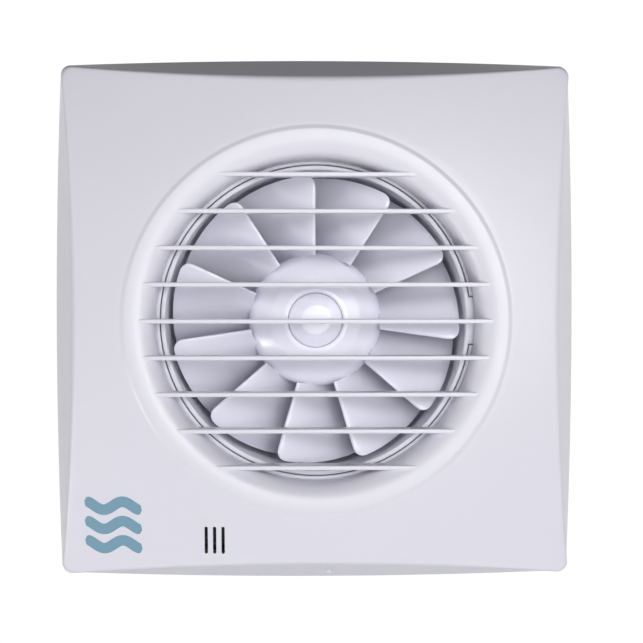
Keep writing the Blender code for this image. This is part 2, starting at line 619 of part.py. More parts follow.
def fascia_rings():
    """Closed set of rings around the fascia's section: up the outside, down the bell-mouth, back inside."""
    rear = square_outline(FACE_HALF, FASCIA_BOW, FASCIA_CORNER)
    front_bow = FRONT_INSET_CORNER - FRONT_INSET_MIDDLE
    front = square_outline(FRONT_CORNER, front_bow, FASCIA_CORNER)
    crest = circle_outline(CREST_R)
    corner_ring = [Vector((p.x, p.y, dome_height(p))) for p in front]
    foot_ring = ring_at(rear, FASCIA_FOOT)
    rings = [foot_ring]
    wall_side = [c + (f - c).normalized() * EDGE_ROUND for c, f in zip(corner_ring, foot_ring)]
    face_side = []
    for c, inner in zip(corner_ring, crest):
        flat = c.xy + (inner - c.xy).normalized() * EDGE_ROUND
        face_side.append(Vector((flat.x, flat.y, dome_height(flat))))
    rounding = [c.lerp((a + b) / 2, 0.5) for c, a, b in zip(corner_ring, wall_side, face_side)]
    rings += [wall_side, rounding, face_side]
    face_flat = [p.xy for p in face_side]
    for share in (0.35, 0.7, 1.0):
        rings.append([Vector((p.x, p.y, dome_height(p))) for p in mix_rings(face_flat, crest, share)])
    for share in (1 / 3, 2 / 3):
        rise = share * share * (3 - 2 * share)
        rings.append(ring_at(circle_outline(CREST_R - CREST_WIDTH * share),
                             CREST_Z - CREST_STEP * (1 - rise)))
    for degrees in (0, 18, 36, 54, 72, 90):
        radius, z = bell_point(degrees)
        rings.append(ring_at(circle_outline(radius), z))
    back_r, _ = bell_point(84, FASCIA_WALL)
    rings.append(ring_at(circle_outline(back_r), THROAT_Z))
    for degrees in (62, 38, 14):
        radius, z = bell_point(degrees, FASCIA_WALL)
        rings.append(ring_at(circle_outline(radius), z))
    inside_rear = square_outline(FACE_HALF - FASCIA_WALL, FASCIA_BOW, FASCIA_CORNER - FASCIA_WALL / 2)
    inside_front = square_outline(FRONT_CORNER - FASCIA_WALL - INSIDE_DRAFT, front_bow, FASCIA_CORNER)
    for share in (0.6, 0.0):
        under = mix_rings(inside_front, crest, share)
        rings.append([Vector((p.x, p.y, dome_height(p) - FASCIA_WALL)) for p in under])
    rings.append(ring_at(inside_rear, FASCIA_FOOT))
    return rings


def make_fascia(bench):
    """Domed front cover with its bell-mouth, louvre slats, humidity slots and four fixing posts."""
    shape = bmesh.new()
    rings = [[shape.verts.new(point) for point in ring] for ring in fascia_rings()]
    for ring, following in zip(rings, rings[1:] + rings[:1]):
        for index in range(len(ring)):
            after = (index + 1) % len(ring)
            shape.faces.new((ring[index], ring[after], following[after], following[index]))
    fascia = bench.add_bmesh("fascia", shape, "white_abs")
    unite(fascia, make_slats(bench))
    for index, (side, level) in enumerate(((-1, -1), (1, -1), (1, 1), (-1, 1)), start=1):
        centre = (side * POST_X, level * POST_Y, 0.0)
        top = dome_height(Vector(centre[:2])) - FASCIA_WALL / 2
        unite(fascia, bench.rod(f"join_post_{index}", POST_R, POST_FOOT_Z, top, None, centre, sides=16))
    for index in range(SLOT_COUNT):
        x = SLOT_X + (index - (SLOT_COUNT - 1) / 2) * SLOT_PITCH
        cut(fascia, bench.block(f"cut_sensor_slot_{index + 1}", (x - SLOT_WIDTH / 2, x + SLOT_WIDTH / 2),
                                (SENSOR_Y - SLOT_LENGTH / 2, SENSOR_Y + SLOT_LENGTH / 2),
                                (TRAY_HEIGHT, CREST_Z), None))
    cut(fascia, bench.rod("cut_lens_hole", LENS_R + TOUCH_GAP, bottom_wall_y(LENS_Z) - REACH,
                          REACH - TRAY_HALF, None, (LENS_X, 0.0, LENS_Z), along="y"))


def make_slats(bench):
    """The louvre slats, trimmed to end half-way through the bell-mouth's wall."""
    shape = bmesh.new()
    for index in range(SLAT_COUNT):
        y = (index - (SLAT_COUNT - 1) / 2) * SLAT_PITCH
        middle = Vector((0.0, y, (SLAT_FRONT + SLAT_REAR) / 2))
        size = (2 * CREST_R, SLAT_THICKNESS, SLAT_FRONT - SLAT_REAR)
        place = Matrix.Translation(middle) @ Matrix.Diagonal((*size, 1))
        bmesh.ops.create_cube(shape, size=1.0, matrix=place)
    slats = bench.add_bmesh("join_slats", shape, None, smooth=False)
    half_wall = FASCIA_WALL / 2
    plug = [bell_point(degrees, half_wall) for degrees in range(0, 91, 15)]
    plug = [(0.0, CREST_Z + REACH), (BELL_R, CREST_Z + REACH), *plug,
            (THROAT_R + half_wall, RIM_Z), (0.0, RIM_Z)]
    apply_boolean(slats, bench.turned("keep_inside_bell", plug, None), "INTERSECT")
    return slats


def bottom_wall_y(z):
    """Where the outside of the fascia's bottom wall is, at mid-width and height z."""
    rear = FACE_HALF + FASCIA_BOW
    front = FACE_HALF - FRONT_INSET_MIDDLE
    front_z = dome_height(Vector((0.0, front)))
    return -(rear + (front - rear) * (z - FASCIA_FOOT) / (front_z - FASCIA_FOOT))


def make_indicator_lens(bench):
    """Round light guide through the bottom wall, with a domed end."""
    outside = bottom_wall_y(LENS_Z)
    inner_end, tip = TRAY_HALF - LENS_INSIDE, LENS_PROUD - outside
    profile = [(0.0, -inner_end), (LENS_R, -inner_end), (LENS_R, 0.4 * LENS_R - tip),
               (0.7 * LENS_R, 0.1 * LENS_R - tip), (0.0, -tip)]
    lens = bench.turned("indicator_lens", profile, "clear_lens", (LENS_X, 0.0, LENS_Z), sides=20)
    lens.rotation_euler = (math.radians(-90), 0.0, 0.0)


# ---------------------------------------------------------------- impeller

def make_impeller(bench):
    """Hub with swept blades, turning with the shaft."""
    recess_r = CAP_R + TOUCH_GAP
    inner_r = HUB_R - HUB_WALL
    bore_r = SHAFT_R + TOUCH_GAP
    under = HUB_FLOOR - HUB_WALL
    hub_rear = BLADE_REAR
    boss_rear = hub_rear + SHAFT_BOSS_GAP
    profile = [(bore_r, HUB_FLOOR), (recess_r, HUB_FLOOR), (recess_r, HUB_FRONT - 0.4 * MM),
               (recess_r + 0.8 * MM, HUB_FRONT - 0.3 * MM), (0.66 * HUB_R, HUB_FRONT - 1.9 * MM),
               (0.88 * HUB_R, HUB_FRONT - 4.8 * MM), (HUB_R, HUB_FRONT - HUB_NOSE_DEPTH),
               (HUB_R, hub_rear), (inner_r, hub_rear), (inner_r, HUB_FRONT - HUB_NOSE_DEPTH - 0.5 * MM),
               (0.72 * HUB_R, under - 2.0 * MM),
               (SHAFT_BOSS_R, under - 1.0 * MM), (SHAFT_BOSS_R, boss_rear), (bore_r, boss_rear)]
    impeller = bench.turned("impeller", profile, "white_abs", sides=3 * BLADE_COUNT)
    unite(impeller, make_blades(bench))


def blade_point(across, back, clearance=0.0):
    """A point on the first blade: across 0 to 1 from root to tip, back 0 to 1 from front to rear edge."""
    root = HUB_R - HUB_WALL / 2
    radius = root + (BLADE_TIP_R - clearance - root) * across
    angle = FIRST_BLADE + BLADE_TURN * back
    front = BLADE_FRONT - BLADE_THICKNESS / 2 - BLADE_ROOT_DROP * (1 - across)
    rear = BLADE_REAR + BLADE_THICKNESS / 2 + BLADE_REAR_GAP
    return Vector(polar(radius, angle, front + (rear - front) * back ** BLADE_CURL))


def make_blades(bench):
    """All the blades as one set of thin curved sheets with a thickness."""
    shape = bmesh.new()
    across_steps, back_steps = 4, 4
    for blade in range(BLADE_COUNT):
        turn = Matrix.Rotation(2 * math.pi * blade / BLADE_COUNT, 3, "Z")
        grid = []
        for i in range(across_steps + 1):
            row = []
            for j in range(back_steps + 1):
                at_front_corner = i == across_steps and j == 0
                clearance = TIP_CORNER if at_front_corner else 0.0
                point = blade_point(i / across_steps, j / back_steps, clearance)
                row.append(shape.verts.new(turn @ point))
            grid.append(row)
        for low, high in zip(grid, grid[1:]):
            for j in range(back_steps):
                shape.faces.new((low[j], high[j], high[j + 1], low[j + 1]))
    blades = bench.add_bmesh("join_blades", shape, None)
    thickness = blades.modifiers.new("thickness", "SOLIDIFY")
    thickness.thickness = BLADE_THICKNESS
    thickness.offset = 0.0
    return blades


def make_hub_cap(bench):
    """Shallow domed cap that closes the hub's nose over the shaft's end."""
    base = HUB_FLOOR + TOUCH_GAP
    top = HUB_FRONT + CAP_CROWN
    profile = [(0.0, base), (CAP_R, base), (CAP_R, HUB_FRONT - 0.6 * MM), (0.9 * CAP_R, HUB_FRONT),
               (0.5 * CAP_R, top - 0.2 * MM), (0.0, top)]
    bench.turned("hub_cap", profile, "white_abs", sides=3 * BLADE_COUNT)


# ---------------------------------------------------------------- motor

def make_motor_shell(bench):
    """Deep-drawn can in front and end cap behind, each with a seat for its bearing."""
    inner = MOTOR_R - MOTOR_WALL
    seat_bore = BEARING_R + TOUCH_GAP
    seat_r = seat_bore + SEAT_WALL
    shaft_hole = SHAFT_R + SHAFT_HOLE_GAP
    front_floor = MOTOR_FRONT - MOTOR_WALL
    seat_end = front_floor - BEARING_LENGTH - TOUCH_GAP
    can = [(shaft_hole, MOTOR_FRONT), (MOTOR_R - CAN_CORNER, MOTOR_FRONT),
           (MOTOR_R, MOTOR_FRONT - CAN_CORNER), (MOTOR_R, CAN_REAR), (inner, CAN_REAR),
           (inner, front_floor), (seat_r, front_floor), (seat_r, seat_end), (seat_bore, seat_end),
           (seat_bore, front_floor), (shaft_hole, front_floor)]
    bench.turned("motor_can", can, "zinc_steel", sides=24)
    rear_floor = MOTOR_REAR + MOTOR_WALL
    seat_end = rear_floor + BEARING_LENGTH + TOUCH_GAP
    rim = CAN_REAR - TOUCH_GAP
    cap = [(shaft_hole, MOTOR_REAR), (MOTOR_R - CAN_CORNER, MOTOR_REAR), (MOTOR_R, MOTOR_REAR + CAN_CORNER),
           (MOTOR_R, rim), (inner, rim), (inner, rear_floor), (seat_r, rear_floor), (seat_r, seat_end),
           (seat_bore, seat_end), (seat_bore, rear_floor), (shaft_hole, rear_floor)]
    end_cap = bench.turned("motor_end_cap", cap, "zinc_steel", sides=24)
    for index, angle in enumerate(MOTOR_SCREW_ANGLES, start=1):
        cut(end_cap, bench.rod(f"cut_end_cap_screw_{index}", SMALL_SCREW_R + TOUCH_GAP, MOTOR_REAR - REACH,
                               rear_floor + REACH, None, polar(MOTOR_SCREW_CIRCLE, angle), sides=16))
    bearing = ring_section(SHAFT_R + BEARING_GAP, BEARING_R, 0.0, BEARING_LENGTH - TOUCH_GAP)
    bench.turned("front_bearing", bearing, "brass", (0, 0, front_floor - BEARING_LENGTH), sides=24)
    bench.turned("rear_bearing", bearing, "brass", (0, 0, rear_floor + TOUCH_GAP), sides=24)


def make_stator(bench):
    """Laminated core with inward poles, and one coil round each pole."""
    core_r = MOTOR_R - MOTOR_WALL - TOUCH_GAP
    yoke_r = core_r - YOKE_WIDTH
    pole_face = ROTOR_R + AIR_GAP
    core = bench.turned("stator_core", ring_section(yoke_r, core_r, STACK_REAR, STACK_FRONT),
                        "laminated_steel", sides=32)
    coil_room = yoke_r - pole_face - 2 * TOUCH_GAP
    for index in range(POLE_COUNT):
        angle = FIRST_POLE + 360 * index / POLE_COUNT
        half = POLE_WIDTH / 2
        unite(core, bench.block(f"join_pole_{index + 1}", (pole_face, yoke_r + REACH), (-half, half),
                                (STACK_REAR, STACK_FRONT), None, turn=angle))
        inner_half = half + TOUCH_GAP
        outer_half = inner_half + COIL_THICKNESS
        span = (pole_face + COIL_END_GAP, pole_face + coil_room - COIL_END_GAP)
        around = TOUCH_GAP + COIL_THICKNESS
        coil = bench.block(f"stator_coil_{index + 1}", span, (-outer_half, outer_half),
                           (STACK_REAR - around, STACK_FRONT + around), "copper_wire", turn=angle)
        cut(coil, bench.block(f"cut_coil_{index + 1}", (span[0] - REACH, span[1] + REACH),
                              (-inner_half, inner_half),
                              (STACK_REAR - TOUCH_GAP, STACK_FRONT + TOUCH_GAP), None, turn=angle))


def make_rotor(bench):
    """Squirrel-cage rotor on the shaft that carries the impeller."""
    shaft_top = HUB_FLOOR - TOUCH_GAP
    shaft_end = MOTOR_REAR + MOTOR_WALL
    bench.rod("shaft", SHAFT_R, shaft_end, shaft_top, "zinc_steel", sides=24)
    bench.turned("rotor", ring_section(SHAFT_R + TOUCH_GAP, ROTOR_R, STACK_REAR, STACK_FRONT),
                 "laminated_steel", sides=24)


def make_motor_screws(bench):
    """Screws through the cup's floor into the motor's end cap."""
    for index, angle in enumerate(MOTOR_SCREW_ANGLES, start=1):
        make_screw(bench, f"motor_screw_{index}", polar(MOTOR_SCREW_CIRCLE, angle), STRUT_REAR - TOUCH_GAP,
                   -1, MOTOR_SCREW_LENGTH)


def make_screw(bench, name, at, seat_z, facing, length):
    """A pan-head screw with a slot; facing 1 has its head towards the room, -1 towards the duct."""
    head = seat_z + facing * SMALL_HEAD_HEIGHT
    rim = seat_z + facing * SMALL_HEAD_HEIGHT * 0.5
    tip = seat_z - facing * length
    profile = [(0.0, head), (SMALL_HEAD_R * 0.7, head), (SMALL_HEAD_R, rim), (SMALL_HEAD_R, seat_z),
               (SMALL_SCREW_R, seat_z), (SMALL_SCREW_R, tip + facing * 0.6 * MM), (0.3 * MM, tip),
               (0.0, tip)]
    screw = bench.turned(name, profile, "zinc_steel", (at[0], at[1], 0.0), sides=12)
    depth = sorted((head - facing * DRIVE_SLOT_DEPTH, head + facing * REACH))
    reach, half = 2 * SMALL_HEAD_R, DRIVE_SLOT_WIDTH / 2
    cut(screw, bench.block(f"cut_{name}_slot", (-reach, reach), (-half, half), depth, None,
                           (at[0], at[1], 0.0), turn=45))


def make_motor_lead(bench):
    """Twin lead from its plug on the board, in through the tube's wall and along a strut to the motor."""
    run_r = (CARRIER_BORE_R + CARRIER_R) / 2
    entry = lead_entry_z()
    plug_x, plug_face = polar(TUBE_R, LEAD_ANGLE)[0], BOARD_TOP - PLUG_INSET
    can_side = MOTOR_R + TOUCH_GAP
    knots = [(plug_x, plug_face + TOUCH_GAP, entry), polar(TUBE_R, LEAD_ANGLE, entry),
             polar(TUBE_BORE_R + 0.4 * MM, LEAD_ANGLE, entry - 0.1 * MM),
             polar(run_r, LEAD_ANGLE, entry - 2.2 * MM), polar(run_r, LEAD_ANGLE, entry - 8 * MM),
             polar(run_r, LEAD_ANGLE, LEAD_Z + 4 * MM), polar(run_r - 1.1 * MM, LEAD_ANGLE, LEAD_Z + 1 * MM),
             polar(run_r - 4 * MM, LEAD_ANGLE, LEAD_Z), polar((run_r + can_side) / 2, LEAD_ANGLE, LEAD_Z),
             polar(can_side, LEAD_ANGLE, LEAD_Z)]
    bench.wire("motor_lead", smooth_route(knots, 3), LEAD_R, "black_plastic")
    bench.block("motor_plug", (plug_x - PLUG_WIDTH / 2, plug_x + PLUG_WIDTH / 2),
                (plug_face - PLUG_DEPTH, plug_face), (PARTS_Z, PARTS_Z + PLUG_HEIGHT), "white_abs",
                corner=PART_CORNER)


# ---------------------------------------------------------------- electronics

def make_circuit_board(bench):
    board = bench.block("circuit_board", (BOARD_LEFT, BOARD_RIGHT), (BOARD_BOTTOM, BOARD_TOP),
                        (BOARD_Z, BOARD_Z + BOARD_THICKNESS), "green_laminate", corner=BOARD_CORNER)
    for index, x in enumerate(BOARD_SCREWS_X, start=1):
        cut(board, bench.rod(f"cut_board_hole_{index}", SMALL_SCREW_R + TOUCH_GAP, BOARD_Z - REACH,
                             BOARD_Z + BOARD_THICKNESS + REACH, None, (x, BOARD_SCREWS_Y, 0.0), sides=16))
        make_screw(bench, f"board_screw_{index}", (x, BOARD_SCREWS_Y), PARTS_Z, 1, SMALL_SCREW_LENGTH)


def make_board_parts(bench):
    """What the board carries: capacitors, control chip, humidity sensor and light."""
    def on_board(name, x, y, size, finish, corner=PART_CORNER):
        width, depth, height = size
        return bench.block(name, (x - width / 2, x + width / 2), (y - depth / 2, y + depth / 2),
                           (PARTS_Z, PARTS_Z + height), finish, corner=corner)

    middle = (BOARD_TOP + BOARD_BOTTOM) / 2
    on_board("film_capacitor", BOARD_LEFT + FILM_CAPACITOR_INSET, middle - 1 * MM, FILM_CAPACITOR,
             "film_epoxy", 1 * MM)
    bench.rod("smoothing_capacitor", SMOOTHING_CAPACITOR_R, PARTS_Z, PARTS_Z + SMOOTHING_CAPACITOR_HEIGHT,
              "blue_plastic", (SLOT_X + SMOOTHING_CAPACITOR_OFFSET, middle, 0.0), sides=28)
    on_board("control_chip", LENS_X + CHIP_OFFSET, BOARD_TOP - CHIP_INSET, CHIP, "black_plastic", 0.2 * MM)
    on_board("humidity_sensor", SLOT_X, SENSOR_Y, SENSOR, "white_abs", 0.8 * MM)
    light_y = BOARD_BOTTOM + LIGHT_INSET
    light = on_board("indicator_led", LENS_X, light_y, LIGHT, "clear_lens", 0.4 * MM)
    unite(light, bench.rod("join_led_nose", LIGHT_NOSE_R, light_y - LIGHT_NOSE_LENGTH, light_y, None,
                           (LENS_X, 0.0, LENS_Z), along="y", sides=16))


def make_trimmer(bench, name, x):
    """A trimmer on the board, and the small screwdriver-slotted rotor that turns in it."""
    y = (BOARD_TOP + BOARD_BOTTOM) / 2 - TRIMMER_DROP
    half, top = TRIMMER_WIDTH / 2, PARTS_Z + TRIMMER_HEIGHT
    body = bench.block(f"{name}_trimmer", (x - half, x + half), (y - half, y + half), (PARTS_Z, top),
                       "blue_plastic", corner=0.4 * MM)
    floor = top - TRIMMER_POCKET_DEPTH
    cut(body, bench.rod(f"cut_{name}_pocket", TRIMMER_POCKET_R, floor, top + REACH, None, (x, y, 0.0)))
    adjuster_top = top + ADJUSTER_PROUD
    rotor = bench.rod(f"{name}_adjuster", TRIMMER_POCKET_R - TOUCH_GAP, floor + TOUCH_GAP, adjuster_top,
                      "white_abs", (x, y, 0.0))
    half_width, half_length = (size / 2 for size in ADJUSTER_SLOT)
    cut(rotor, bench.block(f"cut_{name}_slot", (-half_width, half_width), (-half_length, half_length),
                           (top - ADJUSTER_SLOT_FLOOR, adjuster_top + REACH), None, (x, y, 0.0)))


def make_terminal_block(bench):
    """Three-way mains terminal block on the board's right end, with its clamping screws."""
    right = BOARD_RIGHT - TERMINAL_END_INSET
    left = right - TERMINAL_WAYS * TERMINAL_PITCH
    low = BOARD_BOTTOM + TERMINAL_LOW_INSET
    high, top = low + TERMINAL_DEPTH, PARTS_Z + TERMINAL_HEIGHT
    block = bench.block("terminal_block", (left, right), (low, high), (PARTS_Z, top), "grey_plastic",
                        corner=0.6 * MM)
    middle, half_entry = low + TERMINAL_SCREW_Y, WIRE_ENTRY_WIDTH / 2
    for way in range(TERMINAL_WAYS):
        x = left + (way + 0.5) * TERMINAL_PITCH
        cut(block, bench.rod(f"cut_terminal_well_{way + 1}", TERMINAL_WELL_R, top - TERMINAL_WELL_DEPTH,
                             top + REACH, None, (x, middle, 0.0), sides=16))
        cut(block, bench.block(f"cut_wire_entry_{way + 1}", (x - half_entry, x + half_entry),
                               (middle + WIRE_ENTRY_END, high + REACH),
                               (PARTS_Z + WIRE_ENTRY_LOW, PARTS_Z + WIRE_ENTRY_HIGH), None))
        make_screw(bench, f"terminal_screw_{way + 1}", (x, middle), top - TERMINAL_SCREW_DROP, 1,
                   TERMINAL_SCREW_LENGTH)


def make_cable_entry(bench):
    """Rubber grommet in the back plate, and the bar that clamps the supply cable."""
    neck = GROMMET_R - TOUCH_GAP
    low, high = TOUCH_GAP, PLATE_THICKNESS + TOUCH_GAP
    flange_r, flange_top = GROMMET_R + GROMMET_LIP, high + GROMMET_FLANGE
    profile = [(GROMMET_BORE_R, flange_top), (flange_r, flange_top), (flange_r, high), (neck, high),
               (neck, low), (GROMMET_BORE_R, low)]
    bench.turned("cable_grommet", profile, "grey_rubber", (TRAY_HALF - GROMMET_INSET, GROMMET_Y, 0.0),
                 sides=24)
    centre = TRAY_HALF - CLAMP_INSET
    base = PLATE_THICKNESS + BOARD_STANDOFF + TOUCH_GAP
    clamp = bench.block("cable_clamp", (centre - CLAMP_LENGTH / 2, centre + CLAMP_LENGTH / 2),
                        (CLAMP_Y - CLAMP_WIDTH / 2, CLAMP_Y + CLAMP_WIDTH / 2),
                        (base, base + CLAMP_THICKNESS), "grey_plastic", corner=CLAMP_CORNER)
    for index, x in enumerate(clamp_screws_x(), start=1):
        cut(clamp, bench.rod(f"cut_clamp_hole_{index}", SMALL_SCREW_R + TOUCH_GAP, base - REACH,
                             base + CLAMP_THICKNESS + REACH, None, (x, CLAMP_Y, 0.0), sides=16))
        make_screw(bench, f"clamp_screw_{index}", (x, CLAMP_Y), base + CLAMP_THICKNESS + TOUCH_GAP, 1,
                   SMALL_SCREW_LENGTH)


# ---------------------------------------------------------------- backdraught shutter

def make_shutter_frame(bench):
    """Ring in the spigot's end with a seat for the flaps, a centre bar and the hinge pin."""
    seat_r = SHUTTER_BORE_R - SEAT_WIDTH
    profile = [(seat_r, SHUTTER_FRONT), (SHUTTER_R, SHUTTER_FRONT), (SHUTTER_R, SHUTTER_REAR),
               (SHUTTER_BORE_R, SHUTTER_REAR), (SHUTTER_BORE_R, SEAT_REAR), (seat_r, SEAT_REAR)]
    frame = bench.turned("shutter_ring", profile, "grey_plastic")
    unite(frame, bench.block("join_centre_bar", (-CENTRE_BAR_WIDTH / 2, CENTRE_BAR_WIDTH / 2),
                             (-seat_r - REACH, seat_r + REACH),
                             (SEAT_REAR, SHUTTER_FRONT), None))
    hole_r, pin_end = HINGE_PIN_R + TOUCH_GAP, SHUTTER_R - PIN_INSET
    cut(frame, bench.rod("cut_pin_holes", hole_r, -SHUTTER_R - REACH, SHUTTER_R + REACH, None,
                         (0.0, 0.0, HINGE_Z), along="y", sides=16))
    bench.rod("hinge_pin", HINGE_PIN_R, -pin_end, pin_end, "zinc_steel",
              (0.0, 0.0, HINGE_Z), along="y", sides=16)


def make_flap(bench, name, side, knuckles, spring_y):
    """Half-round flap on the hinge pin; side 1 is the right one, -1 the left."""
    hinge = bench.axis_empty(f"{name}_hinge", (0.0, 0.0, HINGE_Z), bench.stand)
    front, rear = FLAP_FRONT - HINGE_Z, FLAP_REAR - HINGE_Z
    flap = bench.turned(name, [(0.0, front), (FLAP_R, front), (FLAP_R, rear), (0.0, rear)],
                        "white_abs", parent=hinge)
    away = sorted((-side * (FLAP_R + REACH), side * FLAP_INNER_X))
    cut(flap, bench.block(f"cut_{name}_half", away, (-FLAP_R - REACH, FLAP_R + REACH),
                          (rear - REACH, front + REACH), None, parent=hinge))
    for index, y in enumerate(knuckles, start=1):
        low, high = y - KNUCKLE_LENGTH / 2, y + KNUCKLE_LENGTH / 2
        tab = sorted((0.0, side * (FLAP_INNER_X + TAB_LAP)))
        unite(flap, bench.block(f"join_{name}_tab_{index}", tab, (low, high), (rear, front - TOUCH_GAP / 2),
                                None, parent=hinge))
        unite(flap, bench.rod(f"join_{name}_knuckle_{index}", KNUCKLE_R, low, high, None, parent=hinge,
                              along="y", sides=20))
        cut(flap, bench.rod(f"cut_{name}_knuckle_{index}", KNUCKLE_BORE_R, low - REACH, high + REACH, None,
                            parent=hinge, along="y", sides=20))
    bench.wire(name.replace("flap", "flap_spring"), spring_points(side, spring_y), SPRING_WIRE_R,
               "zinc_steel", parent=hinge)


def spring_points(side, start_y):
    """A torsion spring round the hinge pin, with one leg lying behind the flap."""
    coil_r = KNUCKLE_BORE_R + SPRING_WIRE_R + SPRING_GAP
    per_turn = 8
    leg_z = FLAP_REAR - HINGE_Z - SPRING_WIRE_R - SPRING_GAP
    points = [(side * SPRING_LEG, start_y, leg_z), (side * SPRING_LEG / 2, start_y, (leg_z - coil_r) / 2)]
    for step in range(SPRING_TURNS * per_turn + per_turn // 2):
        angle = math.radians(-90 - 360 * step / per_turn)
        points.append((side * coil_r * math.cos(angle), start_y + SPRING_PITCH * step / per_turn,
                       coil_r * math.sin(angle)))
    return points


def make_shutter(bench):
    make_shutter_frame(bench)
    make_flap(bench, "flap_left", -1, (-LEFT_KNUCKLE, LEFT_KNUCKLE), LEFT_SPRING)
    make_flap(bench, "flap_right", 1, (-RIGHT_KNUCKLE, RIGHT_KNUCKLE), RIGHT_SPRING)


def main():
    for old in list(bpy.data.objects):
        bpy.data.objects.remove(old)
    bench = Bench()
    make_base_housing(bench)
    make_motor_carrier(bench)
    make_fascia(bench)
    make_indicator_lens(bench)
    make_impeller(bench)
    make_hub_cap(bench)
    make_motor_shell(bench)
    make_stator(bench)
    make_rotor(bench)
    make_motor_screws(bench)
    make_motor_lead(bench)
    make_circuit_board(bench)
    make_board_parts(bench)
    make_trimmer(bench, "timer", LENS_X + TIMER_OFFSET)
    make_trimmer(bench, "humidity", LENS_X + HUMIDITY_OFFSET)
    make_terminal_block(bench)
    make_cable_entry(bench)
    make_shutter(bench)


main()
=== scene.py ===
"""Looks of a bathroom extractor fan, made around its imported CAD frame.

Pieces are shaped on a bench, with x to the right, y up and z out of the wall towards the room, and are then
stood up so that the fan faces -Y. Every size is in metres.
"""
import math

import bmesh
import bpy
from bpy.props import FloatProperty, FloatVectorProperty, IntProperty, PointerProperty
from mathutils import Matrix, Vector


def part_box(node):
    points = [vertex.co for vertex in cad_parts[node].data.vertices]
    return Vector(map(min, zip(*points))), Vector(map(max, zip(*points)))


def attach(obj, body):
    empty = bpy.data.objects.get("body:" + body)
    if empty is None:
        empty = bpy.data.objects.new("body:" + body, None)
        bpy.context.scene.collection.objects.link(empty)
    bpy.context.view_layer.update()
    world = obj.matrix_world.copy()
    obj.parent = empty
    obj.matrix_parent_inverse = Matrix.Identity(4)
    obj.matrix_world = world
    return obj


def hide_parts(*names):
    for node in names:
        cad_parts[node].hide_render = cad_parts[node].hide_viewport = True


bl_info = {
    "name": "Bathroom Extractor Fan",
    "version": (1, 0, 0),
    "blender": (4, 5, 0),
    "location": "View3D > Sidebar > Fan",
    "description": "Builds the visible pieces, finishes and studio of an axial wall fan",
    "category": "Add Mesh",
}

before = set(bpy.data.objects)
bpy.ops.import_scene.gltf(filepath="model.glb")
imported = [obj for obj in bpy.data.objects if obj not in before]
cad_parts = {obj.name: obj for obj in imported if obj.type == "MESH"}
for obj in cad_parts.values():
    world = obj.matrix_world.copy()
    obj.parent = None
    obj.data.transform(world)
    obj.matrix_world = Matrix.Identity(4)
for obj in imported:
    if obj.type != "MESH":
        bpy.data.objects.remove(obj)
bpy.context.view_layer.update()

MM = 0.001
STAND = Matrix.Rotation(math.radians(90), 4, "X")


def bench_box(node):
    """(lowest, highest) corner of a CAD node on the bench."""
    low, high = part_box(node)
    return Vector((low.x, low.z, -high.y)), Vector((high.x, high.z, -low.y))


# ---------------------------------------------------------------- places read from the frame

FASCIA_LOW, FASCIA_HIGH = bench_box("fascia")
HOUSING_LOW, HOUSING_HIGH = bench_box("base_housing")
CARRIER_LOW, CARRIER_HIGH = bench_box("motor_carrier")
IMPELLER_LOW, IMPELLER_HIGH = bench_box("impeller")
CAP_LOW, CAP_HIGH = bench_box("hub_cap")
CAN_LOW, CAN_HIGH = bench_box("motor_can")
END_CAP_LOW, END_CAP_HIGH = bench_box("motor_end_cap")
RING_LOW, RING_HIGH = bench_box("shutter_ring")
FLAP_LOW, FLAP_HIGH = bench_box("flap_right")
PIN_LOW, PIN_HIGH = bench_box("hinge_pin")
LENS_LOW, LENS_HIGH = bench_box("indicator_lens")
LENS_X, LENS_Z = (LENS_LOW.x + LENS_HIGH.x) / 2, (LENS_LOW.z + LENS_HIGH.z) / 2
LENS_R = (LENS_HIGH.x - LENS_LOW.x) / 2
BOARD_LOW, BOARD_HIGH = bench_box("circuit_board")
SENSOR_LOW, SENSOR_HIGH = bench_box("humidity_sensor")

GAP = 0.3 * MM                         # between pieces that rest against each other
TUBE_BORE_R = RING_HIGH.x + GAP
CARRIER_R = TUBE_BORE_R - GAP
TUBE_R = CARRIER_HIGH.x + GAP          # the carrier's lug ends just inside the tube's outside
RIM_Z = CARRIER_HIGH.z
TRAY_HALF = HOUSING_HIGH.x
CREST_Z = FASCIA_HIGH.z
SENSOR_X = (SENSOR_LOW.x + SENSOR_HIGH.x) / 2
SENSOR_Y = (SENSOR_LOW.y + SENSOR_HIGH.y) / 2

BOARD_SCREWS = ("board_screw_1", "board_screw_2")
CLAMP_SCREWS = ("clamp_screw_1", "clamp_screw_2")
MOTOR_SCREWS = ("motor_screw_1", "motor_screw_2", "motor_screw_3")
SCREW_HOLE_R = 1.3 * MM
ON_BOARD = ("film_capacitor", "smoothing_capacitor", "control_chip", "humidity_sensor", "indicator_led",
            "timer_trimmer", "humidity_trimmer", "terminal_block", "motor_plug", *BOARD_SCREWS)
INNER_FINISHES = {
    "stator_core": "laminations", "rotor": "laminations", "stator_coil_1": "copper",
    "stator_coil_2": "copper", "stator_coil_3": "copper", "stator_coil_4": "copper", "shaft": "steel",
    "front_bearing": "bronze", "rear_bearing": "bronze", "motor_lead": "black_pvc",
    "motor_plug": "white_abs", "indicator_led": "lens", "timer_trimmer": "blue_nylon",
    "humidity_trimmer": "blue_nylon", "timer_adjuster": "white_abs", "humidity_adjuster": "white_abs",
}


# ---------------------------------------------------------------- settings

def length(name, description, default):
    return FloatProperty(name=name, description=description, default=default, min=0.0, unit="LENGTH",
                         precision=5)


def linear(shade):
    """Linear RGBA of an sRGB hex colour such as "#739BAF"."""
    parts = [int(shade[i:i + 2], 16) / 255 for i in (1, 3, 5)]
    return (*[c / 12.92 if c <= 0.04045 else ((c + 0.055) / 1.055) ** 2.4 for c in parts], 1.0)


def colour(name, description, shade):
    return FloatVectorProperty(name=name, description=description, default=linear(shade)[:3],
                               subtype="COLOR", min=0, max=1)


